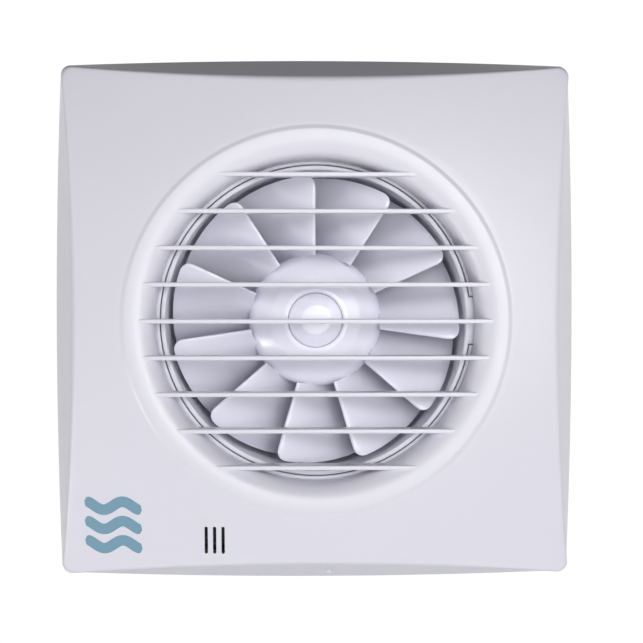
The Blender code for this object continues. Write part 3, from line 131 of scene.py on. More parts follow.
class FasciaSettings(bpy.types.PropertyGroup):
    """Sizes of the front cover."""
    bow: length("Side bow", "How far each side swells at its middle, at the wall", 1.5 * MM)
    corner: length("Corner radius", "Radius of the cover's upright corners", 3.0 * MM)
    inset_corner: length("Front inset at corners", "Front edge, in from the wall edge", 2.0 * MM)
    inset_middle: length("Front inset at middles", "The same at the middle of each side", 6.2 * MM)
    edge: length("Edge rounding", "Width of the rounding between side and face", 1.6 * MM)
    wall: length("Wall", "Thickness of the moulding", 2.2 * MM)
    corner_drop: length("Corner drop", "The domed face, from the crest's foot down to its corners", 12.9 * MM)
    crest_r: length("Crest radius", "Radius of the raised ring's foot", 59.2 * MM)
    crest_width: length("Crest width", "Width of the raised ring's rounded outer edge", 1.8 * MM)
    crest_step: length("Crest step", "Height of the raised ring above the face", 0.6 * MM)
    bell_width: length("Bell-mouth width", "From the crest in to the throat", 8.9 * MM)
    bell_depth: length("Bell-mouth depth", "From the crest back to the throat", 9.7 * MM)
    fullness: FloatProperty(name="Bell-mouth fullness", description="2 is a quarter ellipse, more is flatter",
                            default=3.2, min=1.5)
    slot_count: IntProperty(name="Humidity slots", description="Slots over the sensor", default=3, min=0)
    slot_pitch: length("Slot pitch", "Distance between humidity slots", 2.55 * MM)
    slot_width: length("Slot width", "Width of a humidity slot", 1.0 * MM)
    slot_length: length("Slot length", "Length of a humidity slot", 8.4 * MM)


class LouvreSettings(bpy.types.PropertyGroup):
    """Sizes of the slats across the inlet."""
    count: IntProperty(name="Slats", description="Number of slats", default=9, min=1)
    pitch: length("Pitch", "Distance between slats", 11.0 * MM)
    thickness: length("Front thickness", "Thickness of a slat at its front edge", 1.4 * MM)
    taper: length("Taper", "How much thinner a slat is at its rear edge", 0.3 * MM)
    recess: length("Recess", "Front edges of the slats, behind the crest", 0.3 * MM)
    edge: length("Edge rounding", "Radius of the front edges", 0.45 * MM)


class ImpellerSettings(bpy.types.PropertyGroup):
    """Sizes of the impeller."""
    count: IntProperty(name="Blades", description="Number of blades", default=11, min=2)
    turn: FloatProperty(name="Blade turn", description="From front edge to rear edge, seen along the axis",
                        default=math.radians(34), subtype="ANGLE")
    curl: FloatProperty(name="Blade curl", description="1 is a straight slope, more is flatter in front",
                        default=1.4, min=0.5)
    root_drop: length("Root drop", "Front edge at the root, behind the tip's", 1.8 * MM)
    first: FloatProperty(name="First blade", description="Direction of the first blade's tip",
                         default=math.radians(90), subtype="ANGLE")
    hub_r: length("Hub radius", "Outside of the hub", 21.0 * MM)
    hub_wall: length("Hub wall", "Thickness of the hub", 2.0 * MM)
    thickness: length("Blade thickness", "At the middle of a blade", 1.5 * MM)
    edge_thickness: length("Edge thickness", "At the edges of a blade", 0.8 * MM)
    tip_corner: length("Tip corner", "Rounding of the front corner of the tip", 3.4 * MM)


class HousingSettings(bpy.types.PropertyGroup):
    """Sizes of the back plate, its tray and the duct tube."""
    plate: length("Plate", "Thickness of the back plate", 2.5 * MM)
    tray_height: length("Tray height", "Height of the tray's wall", 10.0 * MM)
    tray_wall: length("Tray wall", "Thickness of the tray's wall", 1.6 * MM)
    tray_corner: length("Tray corner", "Radius of the tray's corners", 5.0 * MM)
    hole_inset: length("Fixing inset", "Fixing holes, in from the tray's edges", 10.0 * MM)
    hole_r: length("Fixing hole", "Radius of a fixing hole", 2.4 * MM)
    boss_r: length("Fixing boss", "Radius of the boss round a fixing hole", 4.5 * MM)
    socket_r: length("Socket", "Radius inside a socket for the cover's posts", 2.3 * MM)
    socket_height: length("Socket height", "Top of the sockets above the wall", 12.0 * MM)
    post_inset: length("Post inset", "Posts, in from the tray's sides", 12.0 * MM)
    post_level: length("Post level", "Posts, above and below the middle", 30.0 * MM)
    ledge: length("Ledge", "Depth of the ledge that stops the motor carrier", 1.3 * MM)
    rib: length("Gusset", "Thickness of the gussets round the tube", 1.2 * MM)
    gussets: IntProperty(name="Gussets", description="Number of gussets round the tube", default=16, min=0)


class CarrierSettings(bpy.types.PropertyGroup):
    """Sizes of the motor carrier."""
    wall: length("Sleeve wall", "Thickness of the sleeve", 1.4 * MM)
    strut_width: length("Strut width", "Width of a strut", 3.2 * MM)
    strut_depth: length("Strut depth", "Depth of a strut along the duct", 8.0 * MM)
    cup_wall: length("Cup wall", "Thickness of the motor cup", 1.7 * MM)
    lug_width: length("Lug width", "Width of the locating lug", 14.4 * MM)
    lug_height: length("Lug height", "Height of the locating lug", 5.0 * MM)


class ShutterSettings(bpy.types.PropertyGroup):
    """Sizes of the backdraught shutter."""
    wall: length("Ring wall", "Thickness of the ring", 2.2 * MM)
    seat: length("Seat", "Width and thickness of the seat", 2.0 * MM)
    bar: length("Bar", "Width of the centre bar", 4.4 * MM)
    knuckle_r: length("Knuckle", "Outside radius of a knuckle", 1.9 * MM)
    knuckle_length: length("Knuckle length", "Length of a knuckle", 8.0 * MM)
    flap: length("Flap", "Thickness of a flap", 1.0 * MM)
    rib: length("Flap rib", "Height of the ribs on a flap", 0.7 * MM)
    spring_wire: length("Spring wire", "Radius of the spring wire", 0.25 * MM)
    spring_turns: IntProperty(name="Spring turns", description="Turns of each spring", default=6, min=1)


class FinishSettings(bpy.types.PropertyGroup):
    """Colours of the main finishes."""
    shell: colour("Shell", "Moulded white of the cover and the housing", "#DDDCE6")
    # Painted light: the blades' white is lighter than the shell's same plastic, standing in for light
    # reaching the impeller in the duct.
    blades: colour("Blades", "Moulded white of the impeller", "#F3F2FD")
    sign: colour("Sign", "Printed blue of the airflow sign", "#739BAF")


class StudioSettings(bpy.types.PropertyGroup):
    """Camera and lights."""
    distance: length("Camera distance", "From the wall plane to the camera", 560.0 * MM)
    view_width: length("View width", "Width seen at the wall plane", 202.5 * MM)
    aim_x: FloatProperty(name="Aim right", description="Where the camera looks, to the right",
                         default=2.1 * MM, unit="LENGTH")
    aim_z: FloatProperty(name="Aim up", description="How high the camera looks", default=-0.7 * MM,
                         unit="LENGTH")
    azimuth: FloatProperty(name="Camera azimuth", description="To the right of straight on",
                           default=math.radians(-1.1), subtype="ANGLE")
    elevation: FloatProperty(name="Camera elevation", description="Above straight on",
                             default=math.radians(1.3), subtype="ANGLE")
    floor_z: FloatProperty(name="Floor height", description="Height of the floor", default=-0.36,
                           unit="LENGTH")
    floor_r: length("Floor radius", "Radius of the round floor", 0.9)


SETTINGS = (
    ("fan_fascia", FasciaSettings),
    ("fan_louvre", LouvreSettings),
    ("fan_impeller", ImpellerSettings),
    ("fan_housing", HousingSettings),
    ("fan_carrier", CarrierSettings),
    ("fan_shutter", ShutterSettings),
    ("fan_finish", FinishSettings),
    ("fan_studio", StudioSettings),
)


# ---------------------------------------------------------------- mesh tools

def finished_mesh(name, shape, sharp=35.0):
    """The bmesh as mesh data with outward faces, smooth but for edges sharper than that many degrees."""
    bmesh.ops.recalc_face_normals(shape, faces=shape.faces)
    mesh = bpy.data.meshes.new(name)
    shape.to_mesh(mesh)
    shape.free()
    smooth(mesh, sharp)
    return mesh


def smooth(mesh, sharp=35.0):
    mesh.shade_smooth()
    mesh.set_sharp_from_angle(angle=math.radians(sharp))


def polar(radius, angle, z=0.0):
    return Vector((radius * math.cos(angle), radius * math.sin(angle), z))


def loft(name, rings, closed=True, sharp=35.0):
    """Skin over rings of equally many points, joined last to first if closed, else capped at both ends."""
    shape = bmesh.new()
    rows = [[shape.verts.new(point) for point in ring] for ring in rings]
    following = rows[1:] + rows[:1] if closed else rows[1:]
    for row, other in zip(rows, following):
        for index in range(len(row)):
            after = (index + 1) % len(row)
            shape.faces.new((row[index], row[after], other[after], other[index]))
    if not closed:
        shape.faces.new(rows[0])
        shape.faces.new(rows[-1])
    return finished_mesh(name, shape, sharp)


def rounded(corners, steps=5):
    """A closed outline with each (x, y, radius) corner rounded by an arc."""
    points = []
    for before, corner, after in zip(corners[-1:] + corners[:-1], corners, corners[1:] + corners[:1]):
        here = Vector(corner[:2])
        back, ahead = Vector(before[:2]) - here, Vector(after[:2]) - here
        radius = corner[2]
        half = back.angle(ahead) / 2
        if radius <= 0 or half > math.radians(89):
            points.append(here)
            continue
        reach = min(radius / math.tan(half), 0.49 * back.length, 0.49 * ahead.length)
        start, end = here + back.normalized() * reach, here + ahead.normalized() * reach
        for step in range(steps + 1):
            t = step / steps
            points.append(start.lerp(here, t).lerp(here.lerp(end, t), t))
    return points


def lathe(name, corners, sides=96, at=(0.0, 0.0), sharp=35.0, steps=5):
    """A closed (radius, z, rounding) section turned about the line through at along z."""
    shape = bmesh.new()
    section = rounded(corners, steps)
    rows = []
    for radius, z in section:
        if radius < 1e-7:
            rows.append([shape.verts.new((at[0], at[1], z))])
            continue
        rows.append([shape.verts.new(Vector((at[0], at[1], 0)) + polar(radius, 2 * math.pi * i / sides, z))
                     for i in range(sides)])
    for row, other in zip(rows, rows[1:] + rows[:1]):
        for index in range(sides):
            after = (index + 1) % sides
            quad = [row[index % len(row)], row[after % len(row)], other[after % len(other)],
                    other[index % len(other)]]
            loop = [vert for place, vert in enumerate(quad) if vert not in quad[:place]]
            if len(loop) > 2:
                shape.faces.new(loop)
    return finished_mesh(name, shape, sharp)


def rod(name, radius, low, high, at=(0.0, 0.0), rounding=0.0, sides=32):
    """A round bar along z."""
    corners = [(0.0, high, 0.0), (radius, high, rounding), (radius, low, rounding), (0.0, low, 0.0)]
    return lathe(name, corners, sides, at)


def block(name, x, y, z, corner=0.0, edge=0.0, turn=0.0, segments=4):
    """A box between pairs of places, with upright edges rounded by corner, then all edges by edge."""
    shape = bmesh.new()
    size = Vector((x[1] - x[0], y[1] - y[0], z[1] - z[0]))
    middle = Vector((x[0] + x[1], y[0] + y[1], z[0] + z[1])) / 2
    place = Matrix.Rotation(turn, 4, "Z") @ Matrix.Translation(middle)
    bmesh.ops.create_cube(shape, size=1.0, matrix=Matrix.Diagonal((*size, 1.0)))
    if corner:
        upright = [e for e in shape.edges if abs(e.verts[0].co.z - e.verts[1].co.z) > size.z / 2]
        bmesh.ops.bevel(shape, geom=upright, offset=corner, segments=2 * segments, profile=0.5,
                        affect="EDGES")
    if edge:
        sharp = [e for e in shape.edges if len(e.link_faces) == 2 and e.calc_face_angle(0) > 0.6]
        bmesh.ops.bevel(shape, geom=sharp, offset=edge, segments=segments, profile=0.5, affect="EDGES")
    bmesh.ops.transform(shape, matrix=place, verts=shape.verts)
    return finished_mesh(name, shape)


def combine(base, tool, operation="UNION", sharp=35.0):
    """The mesh left by a Boolean between two closed meshes, which are used up."""
    first = bpy.data.objects.new("boolean_base", base)
    second = bpy.data.objects.new("boolean_tool", tool)
    for each in (first, second):
        bpy.context.scene.collection.objects.link(each)
    change = first.modifiers.new("boolean", "BOOLEAN")
    change.operation = operation
    change.solver = "EXACT"
    change.object = second
    graph = bpy.context.evaluated_depsgraph_get()
    result = bpy.data.meshes.new_from_object(first.evaluated_get(graph))
    name = base.name
    for each in (first, second):
        bpy.data.objects.remove(each)
    for used in (base, tool):
        bpy.data.meshes.remove(used)
    result.name = name
    smooth(result, sharp)
    return result


def union(base, *tools, sharp=35.0):
    for tool in tools:
        base = combine(base, tool, "UNION", sharp)
    return base


def carve(base, *tools, sharp=35.0):
    for tool in tools:
        base = combine(base, tool, "DIFFERENCE", sharp)
    return base


def gather(name, meshes):
    """Several meshes as one."""
    shape = bmesh.new()
    for mesh in meshes:
        shape.from_mesh(mesh)
        bpy.data.meshes.remove(mesh)
    return finished_mesh(name, shape)


def add_piece(name, mesh, material, body, slot, *nodes):
    """Stands a bench mesh up as a named piece that rides on a body and stands for CAD nodes."""
    mesh.transform(STAND)
    mesh.materials.clear()
    mesh.materials.append(material)
    piece = bpy.data.objects.new(name, mesh)
    bpy.context.scene.collection.objects.link(piece)
    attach(piece, body)
    if nodes:
        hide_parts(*nodes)
    return piece


def add_wire(name, points, radius, material, body, slot, *nodes):
    """A round wire through bench points, as a smooth curve."""
    data = bpy.data.curves.new(name, "CURVE")
    data.dimensions = "3D"
    data.bevel_depth = radius
    data.bevel_resolution = 4
    data.use_fill_caps = True
    spline = data.splines.new("POLY")
    spline.points.add(len(points) - 1)
    for knot, point in zip(spline.points, points):
        knot.co = (*(STAND @ Vector(point)), 1.0)
    data.materials.append(material)
    piece = bpy.data.objects.new(name, data)
    bpy.context.scene.collection.objects.link(piece)
    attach(piece, body)
    if nodes:
        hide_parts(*nodes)
    return piece


def middle_of(node):
    """Where a CAD node stands on the bench, seen from the room."""
    low, high = bench_box(node)
    return (low.x + high.x) / 2, (low.y + high.y) / 2


def near(at, node, room=1.2 * MM):
    """Whether a place on the board is under a part or close beside it."""
    low, high = bench_box(node)
    return low.x - room < at[0] < high.x + room and low.y - room < at[1] < high.y + room


def upright_rod(radius, low, high, x, z, rounding=0.0):
    """A round bar along y."""
    bar = rod("upright_rod", radius, low, high, rounding=rounding)
    bar.transform(Matrix.Rotation(math.radians(-90), 4, "X"))
    bar.transform(Matrix.Translation((x, 0.0, z)))
    return bar


def screw_holes(names, low, high):
    """Cutters for the holes of those screws."""
    return [rod("hole", SCREW_HOLE_R, low, high, middle_of(name), 0.0, 32) for name in names]


def add_screw(node, facing):
    """A pan-head screw with a cross recess in place of a CAD screw; facing 1 has its head to the room."""
    low, high = bench_box(node)
    radius, tall = (high.x - low.x) / 2, high.z - low.z
    head, shank, tip, pitch, thread_depth = 1.2 * MM, 1.0 * MM, 0.8 * MM, 0.5 * MM, 0.2 * MM
    seat = tall - head
    thread = []
    for index in range(int((seat - tip) / pitch)):
        z = seat - (index + 0.3) * pitch
        thread += [(shank, z, 0.0), (shank - thread_depth, z - pitch / 2, 0.0)]
    screw = lathe("screw", [(0.0, tall, 0.0), (0.72 * radius, tall, 0.4 * MM),
                            (radius, seat + 0.45 * MM, 0.4 * MM), (radius, seat, 0.1 * MM), *thread,
                            (0.7 * shank, 0.5 * MM, 0.0), (0.0, 0.0, 0.0)], 40)
    reach, half_width, recess_floor = 0.62 * radius, 0.28 * MM, tall - 0.7 * MM
    recess = [block("recess", (-reach, reach), (-half_width, half_width), (recess_floor, tall + 1 * MM),
                    turn=math.radians(angle)) for angle in (25, 115)]
    screw = carve(screw, *recess)
    if facing < 0:
        screw.transform(Matrix.Rotation(math.radians(180), 4, "X"))
        screw.transform(Matrix.Translation((0.0, 0.0, tall)))
    screw.transform(Matrix.Translation((*middle_of(node), low.z)))
    add_piece(f"cross_head_{node}", screw, finish("steel"), "housing", "zinc_steel", node)


# ---------------------------------------------------------------- material tools

def add_node(tree, kind, inputs=None, **settings):
    """A shader node with its properties set and each input set to a value or linked to a socket."""
    made = tree.nodes.new("ShaderNode" + kind)
    for name, value in settings.items():
        setattr(made, name, value)
    for socket, value in (inputs or {}).items():
        if isinstance(value, bpy.types.NodeSocket):
            tree.links.new(value, made.inputs[socket])
        else:
            made.inputs[socket].default_value = value
    return made


def per_mm(size_mm):
    """Texture scale whose features are that many millimetres across."""
    return 1.0 / (size_mm * MM)


def start_material(name):
    """An empty material, its node tree and the object coordinates, which lie in the row frame."""
    made = bpy.data.materials.new(name)
    made.use_nodes = True
    made.node_tree.nodes.clear()
    place = add_node(made.node_tree, "TexCoord").outputs["Object"]
    return made, made.node_tree, place


def close_material(made, tree, **inputs):
    """Principled surface with those inputs, given with underscores for spaces."""
    sockets = {name.replace("_", " "): value for name, value in inputs.items()}
    shader = add_node(tree, "BsdfPrincipled", sockets)
    add_node(tree, "OutputMaterial", {"Surface": shader.outputs["BSDF"]})
    return made


def spread(tree, place, colour, size_mm, amount):
    """The colour with soft patches lighter and darker by amount."""
    patches = add_node(tree, "TexNoise", {"Vector": place, "Scale": per_mm(size_mm), "Detail": 3.0})
    dark = tuple(c * (1 - amount) for c in colour[:3]) + (1.0,)
    light = tuple(min(c * (1 + amount), 1.0) for c in colour[:3]) + (1.0,)
    mixed = add_node(tree, "Mix", {0: patches.outputs["Fac"], 6: dark, 7: light}, data_type="RGBA")
    return mixed.outputs[2]


def roughness_range(tree, place, size_mm, low, high):
    """Roughness that wanders between two values."""
    cloud = add_node(tree, "TexNoise", {"Vector": place, "Scale": per_mm(size_mm), "Detail": 4.0})
    fitted = add_node(tree, "MapRange", {"Value": cloud.outputs["Fac"], "To Min": low, "To Max": high})
    return fitted.outputs["Result"]


def moulded_plastic(name, colour, roughness, grain_mm, grain_depth):
    """Injection-moulded plastic: faint flow patches, a fine eroded grain, and an even soft gloss."""
    made, tree, place = start_material(name)
    grain = add_node(tree, "TexNoise", {"Vector": place, "Scale": per_mm(grain_mm), "Detail": 2.0})
    waves = add_node(tree, "TexNoise", {"Vector": place, "Scale": per_mm(30.0), "Detail": 1.0})
    ripple = add_node(tree, "Bump", {"Strength": 0.04, "Distance": 0.4 * MM,
                                     "Height": waves.outputs["Fac"]})
    bump = add_node(tree, "Bump", {"Strength": 0.25, "Distance": grain_depth,
                                   "Height": grain.outputs["Fac"], "Normal": ripple.outputs["Normal"]})
    return close_material(
        made, tree, Base_Color=spread(tree, place, colour, 25.0, 0.012),
        Roughness=roughness_range(tree, place, 6.0, roughness - 0.05, roughness + 0.05), IOR=1.54,
        Normal=bump.outputs["Normal"])


def plated_steel(name, colour, roughness, streak_mm):
    """Bright zinc-plated steel: a clear metal with fine drawn streaks and cloudy crystals."""
    made, tree, place = start_material(name)
    stretched = add_node(tree, "Mapping", {"Vector": place, "Scale": (1.0, 0.12, 1.0)})
    streaks = add_node(tree, "TexNoise", {"Vector": stretched.outputs["Vector"],
                                          "Scale": per_mm(streak_mm), "Detail": 5.0})
    crystals = add_node(tree, "TexVoronoi", {"Vector": place, "Scale": per_mm(1.6)})
    tone = add_node(tree, "Mix", {0: crystals.outputs["Color"], 6: colour,
                                  7: tuple(0.86 * c for c in colour[:3]) + (1.0,)}, data_type="RGBA")
    bump = add_node(tree, "Bump", {"Strength": 0.2, "Distance": 0.03 * MM,
                                   "Height": streaks.outputs["Fac"]})
    return close_material(
        made, tree, Base_Color=tone.outputs[2], Metallic=1.0,
        Roughness=roughness_range(tree, place, 1.2, roughness - 0.07, roughness + 0.1),
        Normal=bump.outputs["Normal"])


def stacked_steel(name):
    """Punched electrical steel sheets, 0.5 mm each: dark edges in fine lines along the stack."""
    made, tree, place = start_material(name)
    sheets = add_node(tree, "TexWave", {"Vector": place, "Scale": per_mm(0.5) / (2 * math.pi) * 2,
                                        "Distortion": 0.3, "Detail": 1.0}, bands_direction="Y")
    tone = add_node(tree, "Mix", {0: sheets.outputs["Fac"], 6: linear("#3A3B3E"), 7: linear("#77797E")},
                    data_type="RGBA")
    bump = add_node(tree, "Bump", {"Strength": 0.5, "Distance": 0.1 * MM,
                                   "Height": sheets.outputs["Fac"]})
    return close_material(made, tree, Base_Color=tone.outputs[2], Metallic=1.0,
                          Roughness=roughness_range(tree, place, 2.0, 0.35, 0.5),
                          Normal=bump.outputs["Normal"])


def enamelled_copper(name):
    """Enamelled winding wire, 0.4 mm: reddish-brown metal in tight, slightly uneven turns."""
    made, tree, place = start_material(name)
    turns = add_node(tree, "TexWave", {"Vector": place, "Scale": per_mm(0.8) / math.pi, "Distortion": 0.6,
                                       "Detail": 1.0, "Detail Scale": 0.5}, bands_direction="DIAGONAL")
    tone = add_node(tree, "Mix", {0: turns.outputs["Fac"], 6: linear("#6B2F17"), 7: linear("#C9733F")},
                    data_type="RGBA")
    bump = add_node(tree, "Bump", {"Strength": 0.8, "Distance": 0.2 * MM, "Height": turns.outputs["Fac"]})
    return close_material(made, tree, Base_Color=tone.outputs[2], Metallic=0.9,
                          Roughness=roughness_range(tree, place, 1.5, 0.25, 0.4), Coat_Weight=0.6,
                          Coat_Roughness=0.15, Normal=bump.outputs["Normal"])


def sintered_bronze(name):
    """Oil-filled sintered bronze: warm, finely porous metal."""
    made, tree, place = start_material(name)
    pores = add_node(tree, "TexVoronoi", {"Vector": place, "Scale": per_mm(0.35)})
    bump = add_node(tree, "Bump", {"Strength": 0.4, "Distance": 0.06 * MM,
                                   "Height": pores.outputs["Distance"]})
    return close_material(made, tree, Base_Color=spread(tree, place, linear("#B58C4C"), 2.0, 0.12),
                          Metallic=1.0, Roughness=roughness_range(tree, place, 1.0, 0.35, 0.5),
                          Normal=bump.outputs["Normal"])


def solder_mask(name):
    """Glass laminate under green solder mask: the copper tracks stand a little proud and paler."""
    made, tree, place = start_material(name)
    cells = add_node(tree, "TexVoronoi", {"Vector": place, "Scale": per_mm(6.0), "Randomness": 0.35},
                     distance="CHEBYCHEV", feature="DISTANCE_TO_EDGE")
    tracks = add_node(tree, "MapRange", {"Value": cells.outputs["Distance"], "From Min": 0.05,
                                         "From Max": 0.11, "To Min": 1.0, "To Max": 0.0})
    tone = add_node(tree, "Mix", {0: tracks.outputs["Result"], 6: linear("#14522F"), 7: linear("#2E8A4E")},
                    data_type="RGBA")
    weave = add_node(tree, "TexNoise", {"Vector": place, "Scale": per_mm(0.5), "Detail": 2.0})
    fine = add_node(tree, "Bump", {"Strength": 0.15, "Distance": 0.05 * MM, "Height": weave.outputs["Fac"]})
    bump = add_node(tree, "Bump", {"Strength": 0.6, "Distance": 0.08 * MM,
                                   "Height": tracks.outputs["Result"], "Normal": fine.outputs["Normal"]})
    return close_material(made, tree, Base_Color=tone.outputs[2],
                          Roughness=roughness_range(tree, place, 3.0, 0.22, 0.36),
                          Normal=bump.outputs["Normal"])


def moulded_rubber(name):
    """Compression-moulded rubber: dark grey, matt, with a dusty bloom."""
    made, tree, place = start_material(name)
    bloom = add_node(tree, "TexNoise", {"Vector": place, "Scale": per_mm(4.0), "Detail": 5.0})
    tone = add_node(tree, "Mix", {0: bloom.outputs["Fac"], 6: linear("#2E2F31"), 7: linear("#4B4C4F")},
                    data_type="RGBA")
    bump = add_node(tree, "Bump", {"Strength": 0.3, "Distance": 0.1 * MM, "Height": bloom.outputs["Fac"]})
    return close_material(made, tree, Base_Color=tone.outputs[2],
                          Roughness=roughness_range(tree, place, 1.0, 0.65, 0.85),
                          Normal=bump.outputs["Normal"])


def clear_polycarbonate(name):
    """Moulded polycarbonate with a frosted skin: passes light softly."""
    made, tree, place = start_material(name)
    frost = add_node(tree, "TexNoise", {"Vector": place, "Scale": per_mm(0.3), "Detail": 2.0})
    bump = add_node(tree, "Bump", {"Strength": 0.1, "Distance": 0.05 * MM, "Height": frost.outputs["Fac"]})
    return close_material(made, tree, Base_Color=spread(tree, place, linear("#F6F8FC"), 2.0, 0.02),
                          Roughness=roughness_range(tree, place, 0.8, 0.08, 0.2), IOR=1.58,
                          Transmission_Weight=0.55, Normal=bump.outputs["Normal"])


def screen_print(name, colour):
    """Screen-printed ink on the cover: flat, slightly uneven blue with a satin skin."""
    made, tree, place = start_material(name)
    pinholes = add_node(tree, "TexNoise", {"Vector": place, "Scale": per_mm(0.4), "Detail": 3.0})
    bump = add_node(tree, "Bump", {"Strength": 0.2, "Distance": 0.03 * MM,
                                   "Height": pinholes.outputs["Fac"]})
    return close_material(made, tree, Base_Color=spread(tree, place, colour, 1.5, 0.03),
                          Roughness=roughness_range(tree, place, 2.0, 0.38, 0.5), IOR=1.5,
                          Normal=bump.outputs["Normal"])


def studio_paper(name):
    """Matt paper floor: plain, pale and without gloss."""
    made, tree, place = start_material(name)
    fibre = add_node(tree, "TexNoise", {"Vector": place, "Scale": per_mm(3.0), "Detail": 4.0})
    bump = add_node(tree, "Bump", {"Strength": 0.05, "Distance": 0.1 * MM, "Height": fibre.outputs["Fac"]})
    return close_material(made, tree, Base_Color=spread(tree, place, linear("#F4F4F6"), 60.0, 0.004),
                          Roughness=0.95, Specular_IOR_Level=0.1, Normal=bump.outputs["Normal"])


def opaque(colour):
    return (*colour, 1.0)


FINISH_MAKERS = {
    "white_abs": lambda s: moulded_plastic("moulded_abs_white", opaque(s.shell), 0.33, 0.5, 0.04 * MM),
    # Blade finish: the shell's white plastic made lighter, painted light for the impeller inside the shaded
    # duct.
    "blade_abs_painted_light": lambda s: moulded_plastic("moulded_abs_blades_painted_light", opaque(s.blades), 0.22, 0.6, 0.02 * MM),
    # Pale grey plastic made lighter than the white shell: partly its own colour, partly painted light on the
    # shaded duct wall.
    "grey_abs_painted_light": lambda s: moulded_plastic("moulded_abs_grey_painted_light", linear("#E4E4EC"), 0.42, 0.5, 0.05 * MM),
    "black_pvc": lambda s: moulded_plastic("extruded_pvc_black", linear("#1A1A1C"), 0.45, 0.4, 0.05 * MM),
    "blue_nylon": lambda s: moulded_plastic("moulded_nylon_blue", linear("#2C5FA8"), 0.4, 0.4, 0.05 * MM),
    "yellow_epoxy": lambda s: moulded_plastic("potted_epoxy_yellow", linear("#C9A227"), 0.35, 0.5, 0.06 * MM),
    "steel": lambda s: plated_steel("zinc_plated_steel", linear("#C4C7CC"), 0.28, 0.4),
    "laminations": lambda s: stacked_steel("stacked_electrical_steel"),
    "copper": lambda s: enamelled_copper("enamelled_copper_winding"),
    "bronze": lambda s: sintered_bronze("sintered_bronze"),
    "laminate": lambda s: solder_mask("solder_masked_laminate"),
    "rubber": lambda s: moulded_rubber("moulded_rubber"),
    "lens": lambda s: clear_polycarbonate("frosted_polycarbonate"),
    "ink": lambda s: screen_print("screen_printed_ink", opaque(s.sign)),
    "paper": lambda s: studio_paper("studio_paper"),
}
_made_finishes = {}


def finish(name):
    """The finish of that name, made on first use."""
    if name not in _made_finishes:
        _made_finishes[name] = FINISH_MAKERS[name](bpy.context.scene.fan_finish)
    return _made_finishes[name]


# ---------------------------------------------------------------- fascia

SIDE_POINTS = 49
CORNER_POINTS = 15
RING_POINTS = 4 * (SIDE_POINTS + CORNER_POINTS)


def square_outline(half, bow, corner):
    """A square ring of points whose sides swell outwards by bow at their middles, from the right side."""
    points = []
    for side in range(4):
        turn = Matrix.Rotation(side * math.pi / 2, 2)
        for step in range(SIDE_POINTS):
            t = 2 * step / (SIDE_POINTS - 1) - 1
            points.append(turn @ Vector((half + bow * (1 - t * t), t * (half - corner))))
        for step in range(1, CORNER_POINTS + 1):
            angle = math.pi / 2 * step / (CORNER_POINTS + 1)
            arc = Vector((math.cos(angle), math.sin(angle))) * corner
            points.append(turn @ (Vector((half - corner, half - corner)) + arc))
    return points


def circle_outline(radius):
    middle = SIDE_POINTS // 2
    return [polar(radius, 2 * math.pi * (step - middle) / RING_POINTS).xy for step in range(RING_POINTS)]


def dome_height(s, point):
    """Height of the gently domed face, which meets the crest at its foot."""
    corner = FASCIA_HIGH.x - s.bow - s.inset_corner
    share = (Vector(point[:2]).length_squared - s.crest_r ** 2) / (2 * corner ** 2 - s.crest_r ** 2)
    return CREST_Z - s.crest_step - s.corner_drop * share


def bell_point(s, angle, offset=0.0):
    """(radius, z) on the bell-mouth's section, from 0 at the crest to a right angle at the throat."""
    across = math.sin(angle) ** (2 / s.fullness)
    height = max(math.cos(angle), 0.0) ** (2 / s.fullness)
    radius = s.crest_r - s.crest_width - s.bell_width * across
    z = CREST_Z - s.bell_depth * (1 - height)
    power = s.fullness - 1
    inward = Vector((s.bell_depth * across ** power, -s.bell_width * height ** power)).normalized()
    return radius + offset * inward.x, z + offset * inward.y


def on_dome(s, ring, drop=0.0):
    return [Vector((p.x, p.y, dome_height(s, p) - drop)) for p in ring]


def flat_ring(ring, z):
    return [Vector((p.x, p.y, z)) for p in ring]


def mix_rings(ring, other, share):
    return [a.lerp(b, share) for a, b in zip(ring, other)]


def fascia_rings(s):
    """Rings round the cover's section: up the outside, over the face, down the bell-mouth and back inside."""
    foot_z = FASCIA_LOW.z
    half = FASCIA_HIGH.x - s.bow
    front_bow = s.inset_corner - s.inset_middle
    foot = flat_ring(square_outline(half, s.bow, s.corner), foot_z)
    edge = on_dome(s, square_outline(half - s.inset_corner, front_bow, s.corner))
    crest = circle_outline(s.crest_r)
    wall_end = [e + (f - e).normalized() * s.edge for e, f in zip(edge, foot)]
    face_start = []
    for e, inner in zip(edge, crest):
        flat = e.xy + (inner - e.xy).normalized() * s.edge
        face_start.append(Vector((flat.x, flat.y, dome_height(s, flat))))
    rings = [mix_rings(foot, wall_end, step / 8) for step in range(9)]
    for step in range(1, 7):
        t = step / 7
        rings.append([a.lerp(e, t).lerp(e.lerp(b, t), t) for a, e, b in zip(wall_end, edge, face_start)])
    face_flat = [p.xy for p in face_start]
    rings += [on_dome(s, mix_rings(face_flat, crest, step / 16)) for step in range(17)]
    rings += crest_rings(s)
    steps = 30
    for step in range(steps + 1):
        radius, z = bell_point(s, math.pi / 2 * (step / steps) ** 1.3)
        rings.append(flat_ring(circle_outline(radius), z))
    rings += inside_rings(s, half, front_bow, crest, foot_z)
    return rings


def crest_rings(s):
    """The raised ring's outer edge, which sweeps up from the face and over to the crest."""
    rings = []
    for step in range(1, 12):
        t = step / 12
        rise = t * t * (3 - 2 * t)
        rings.append(flat_ring(circle_outline(s.crest_r - s.crest_width * t),
                               CREST_Z - s.crest_step * (1 - rise)))
    return rings


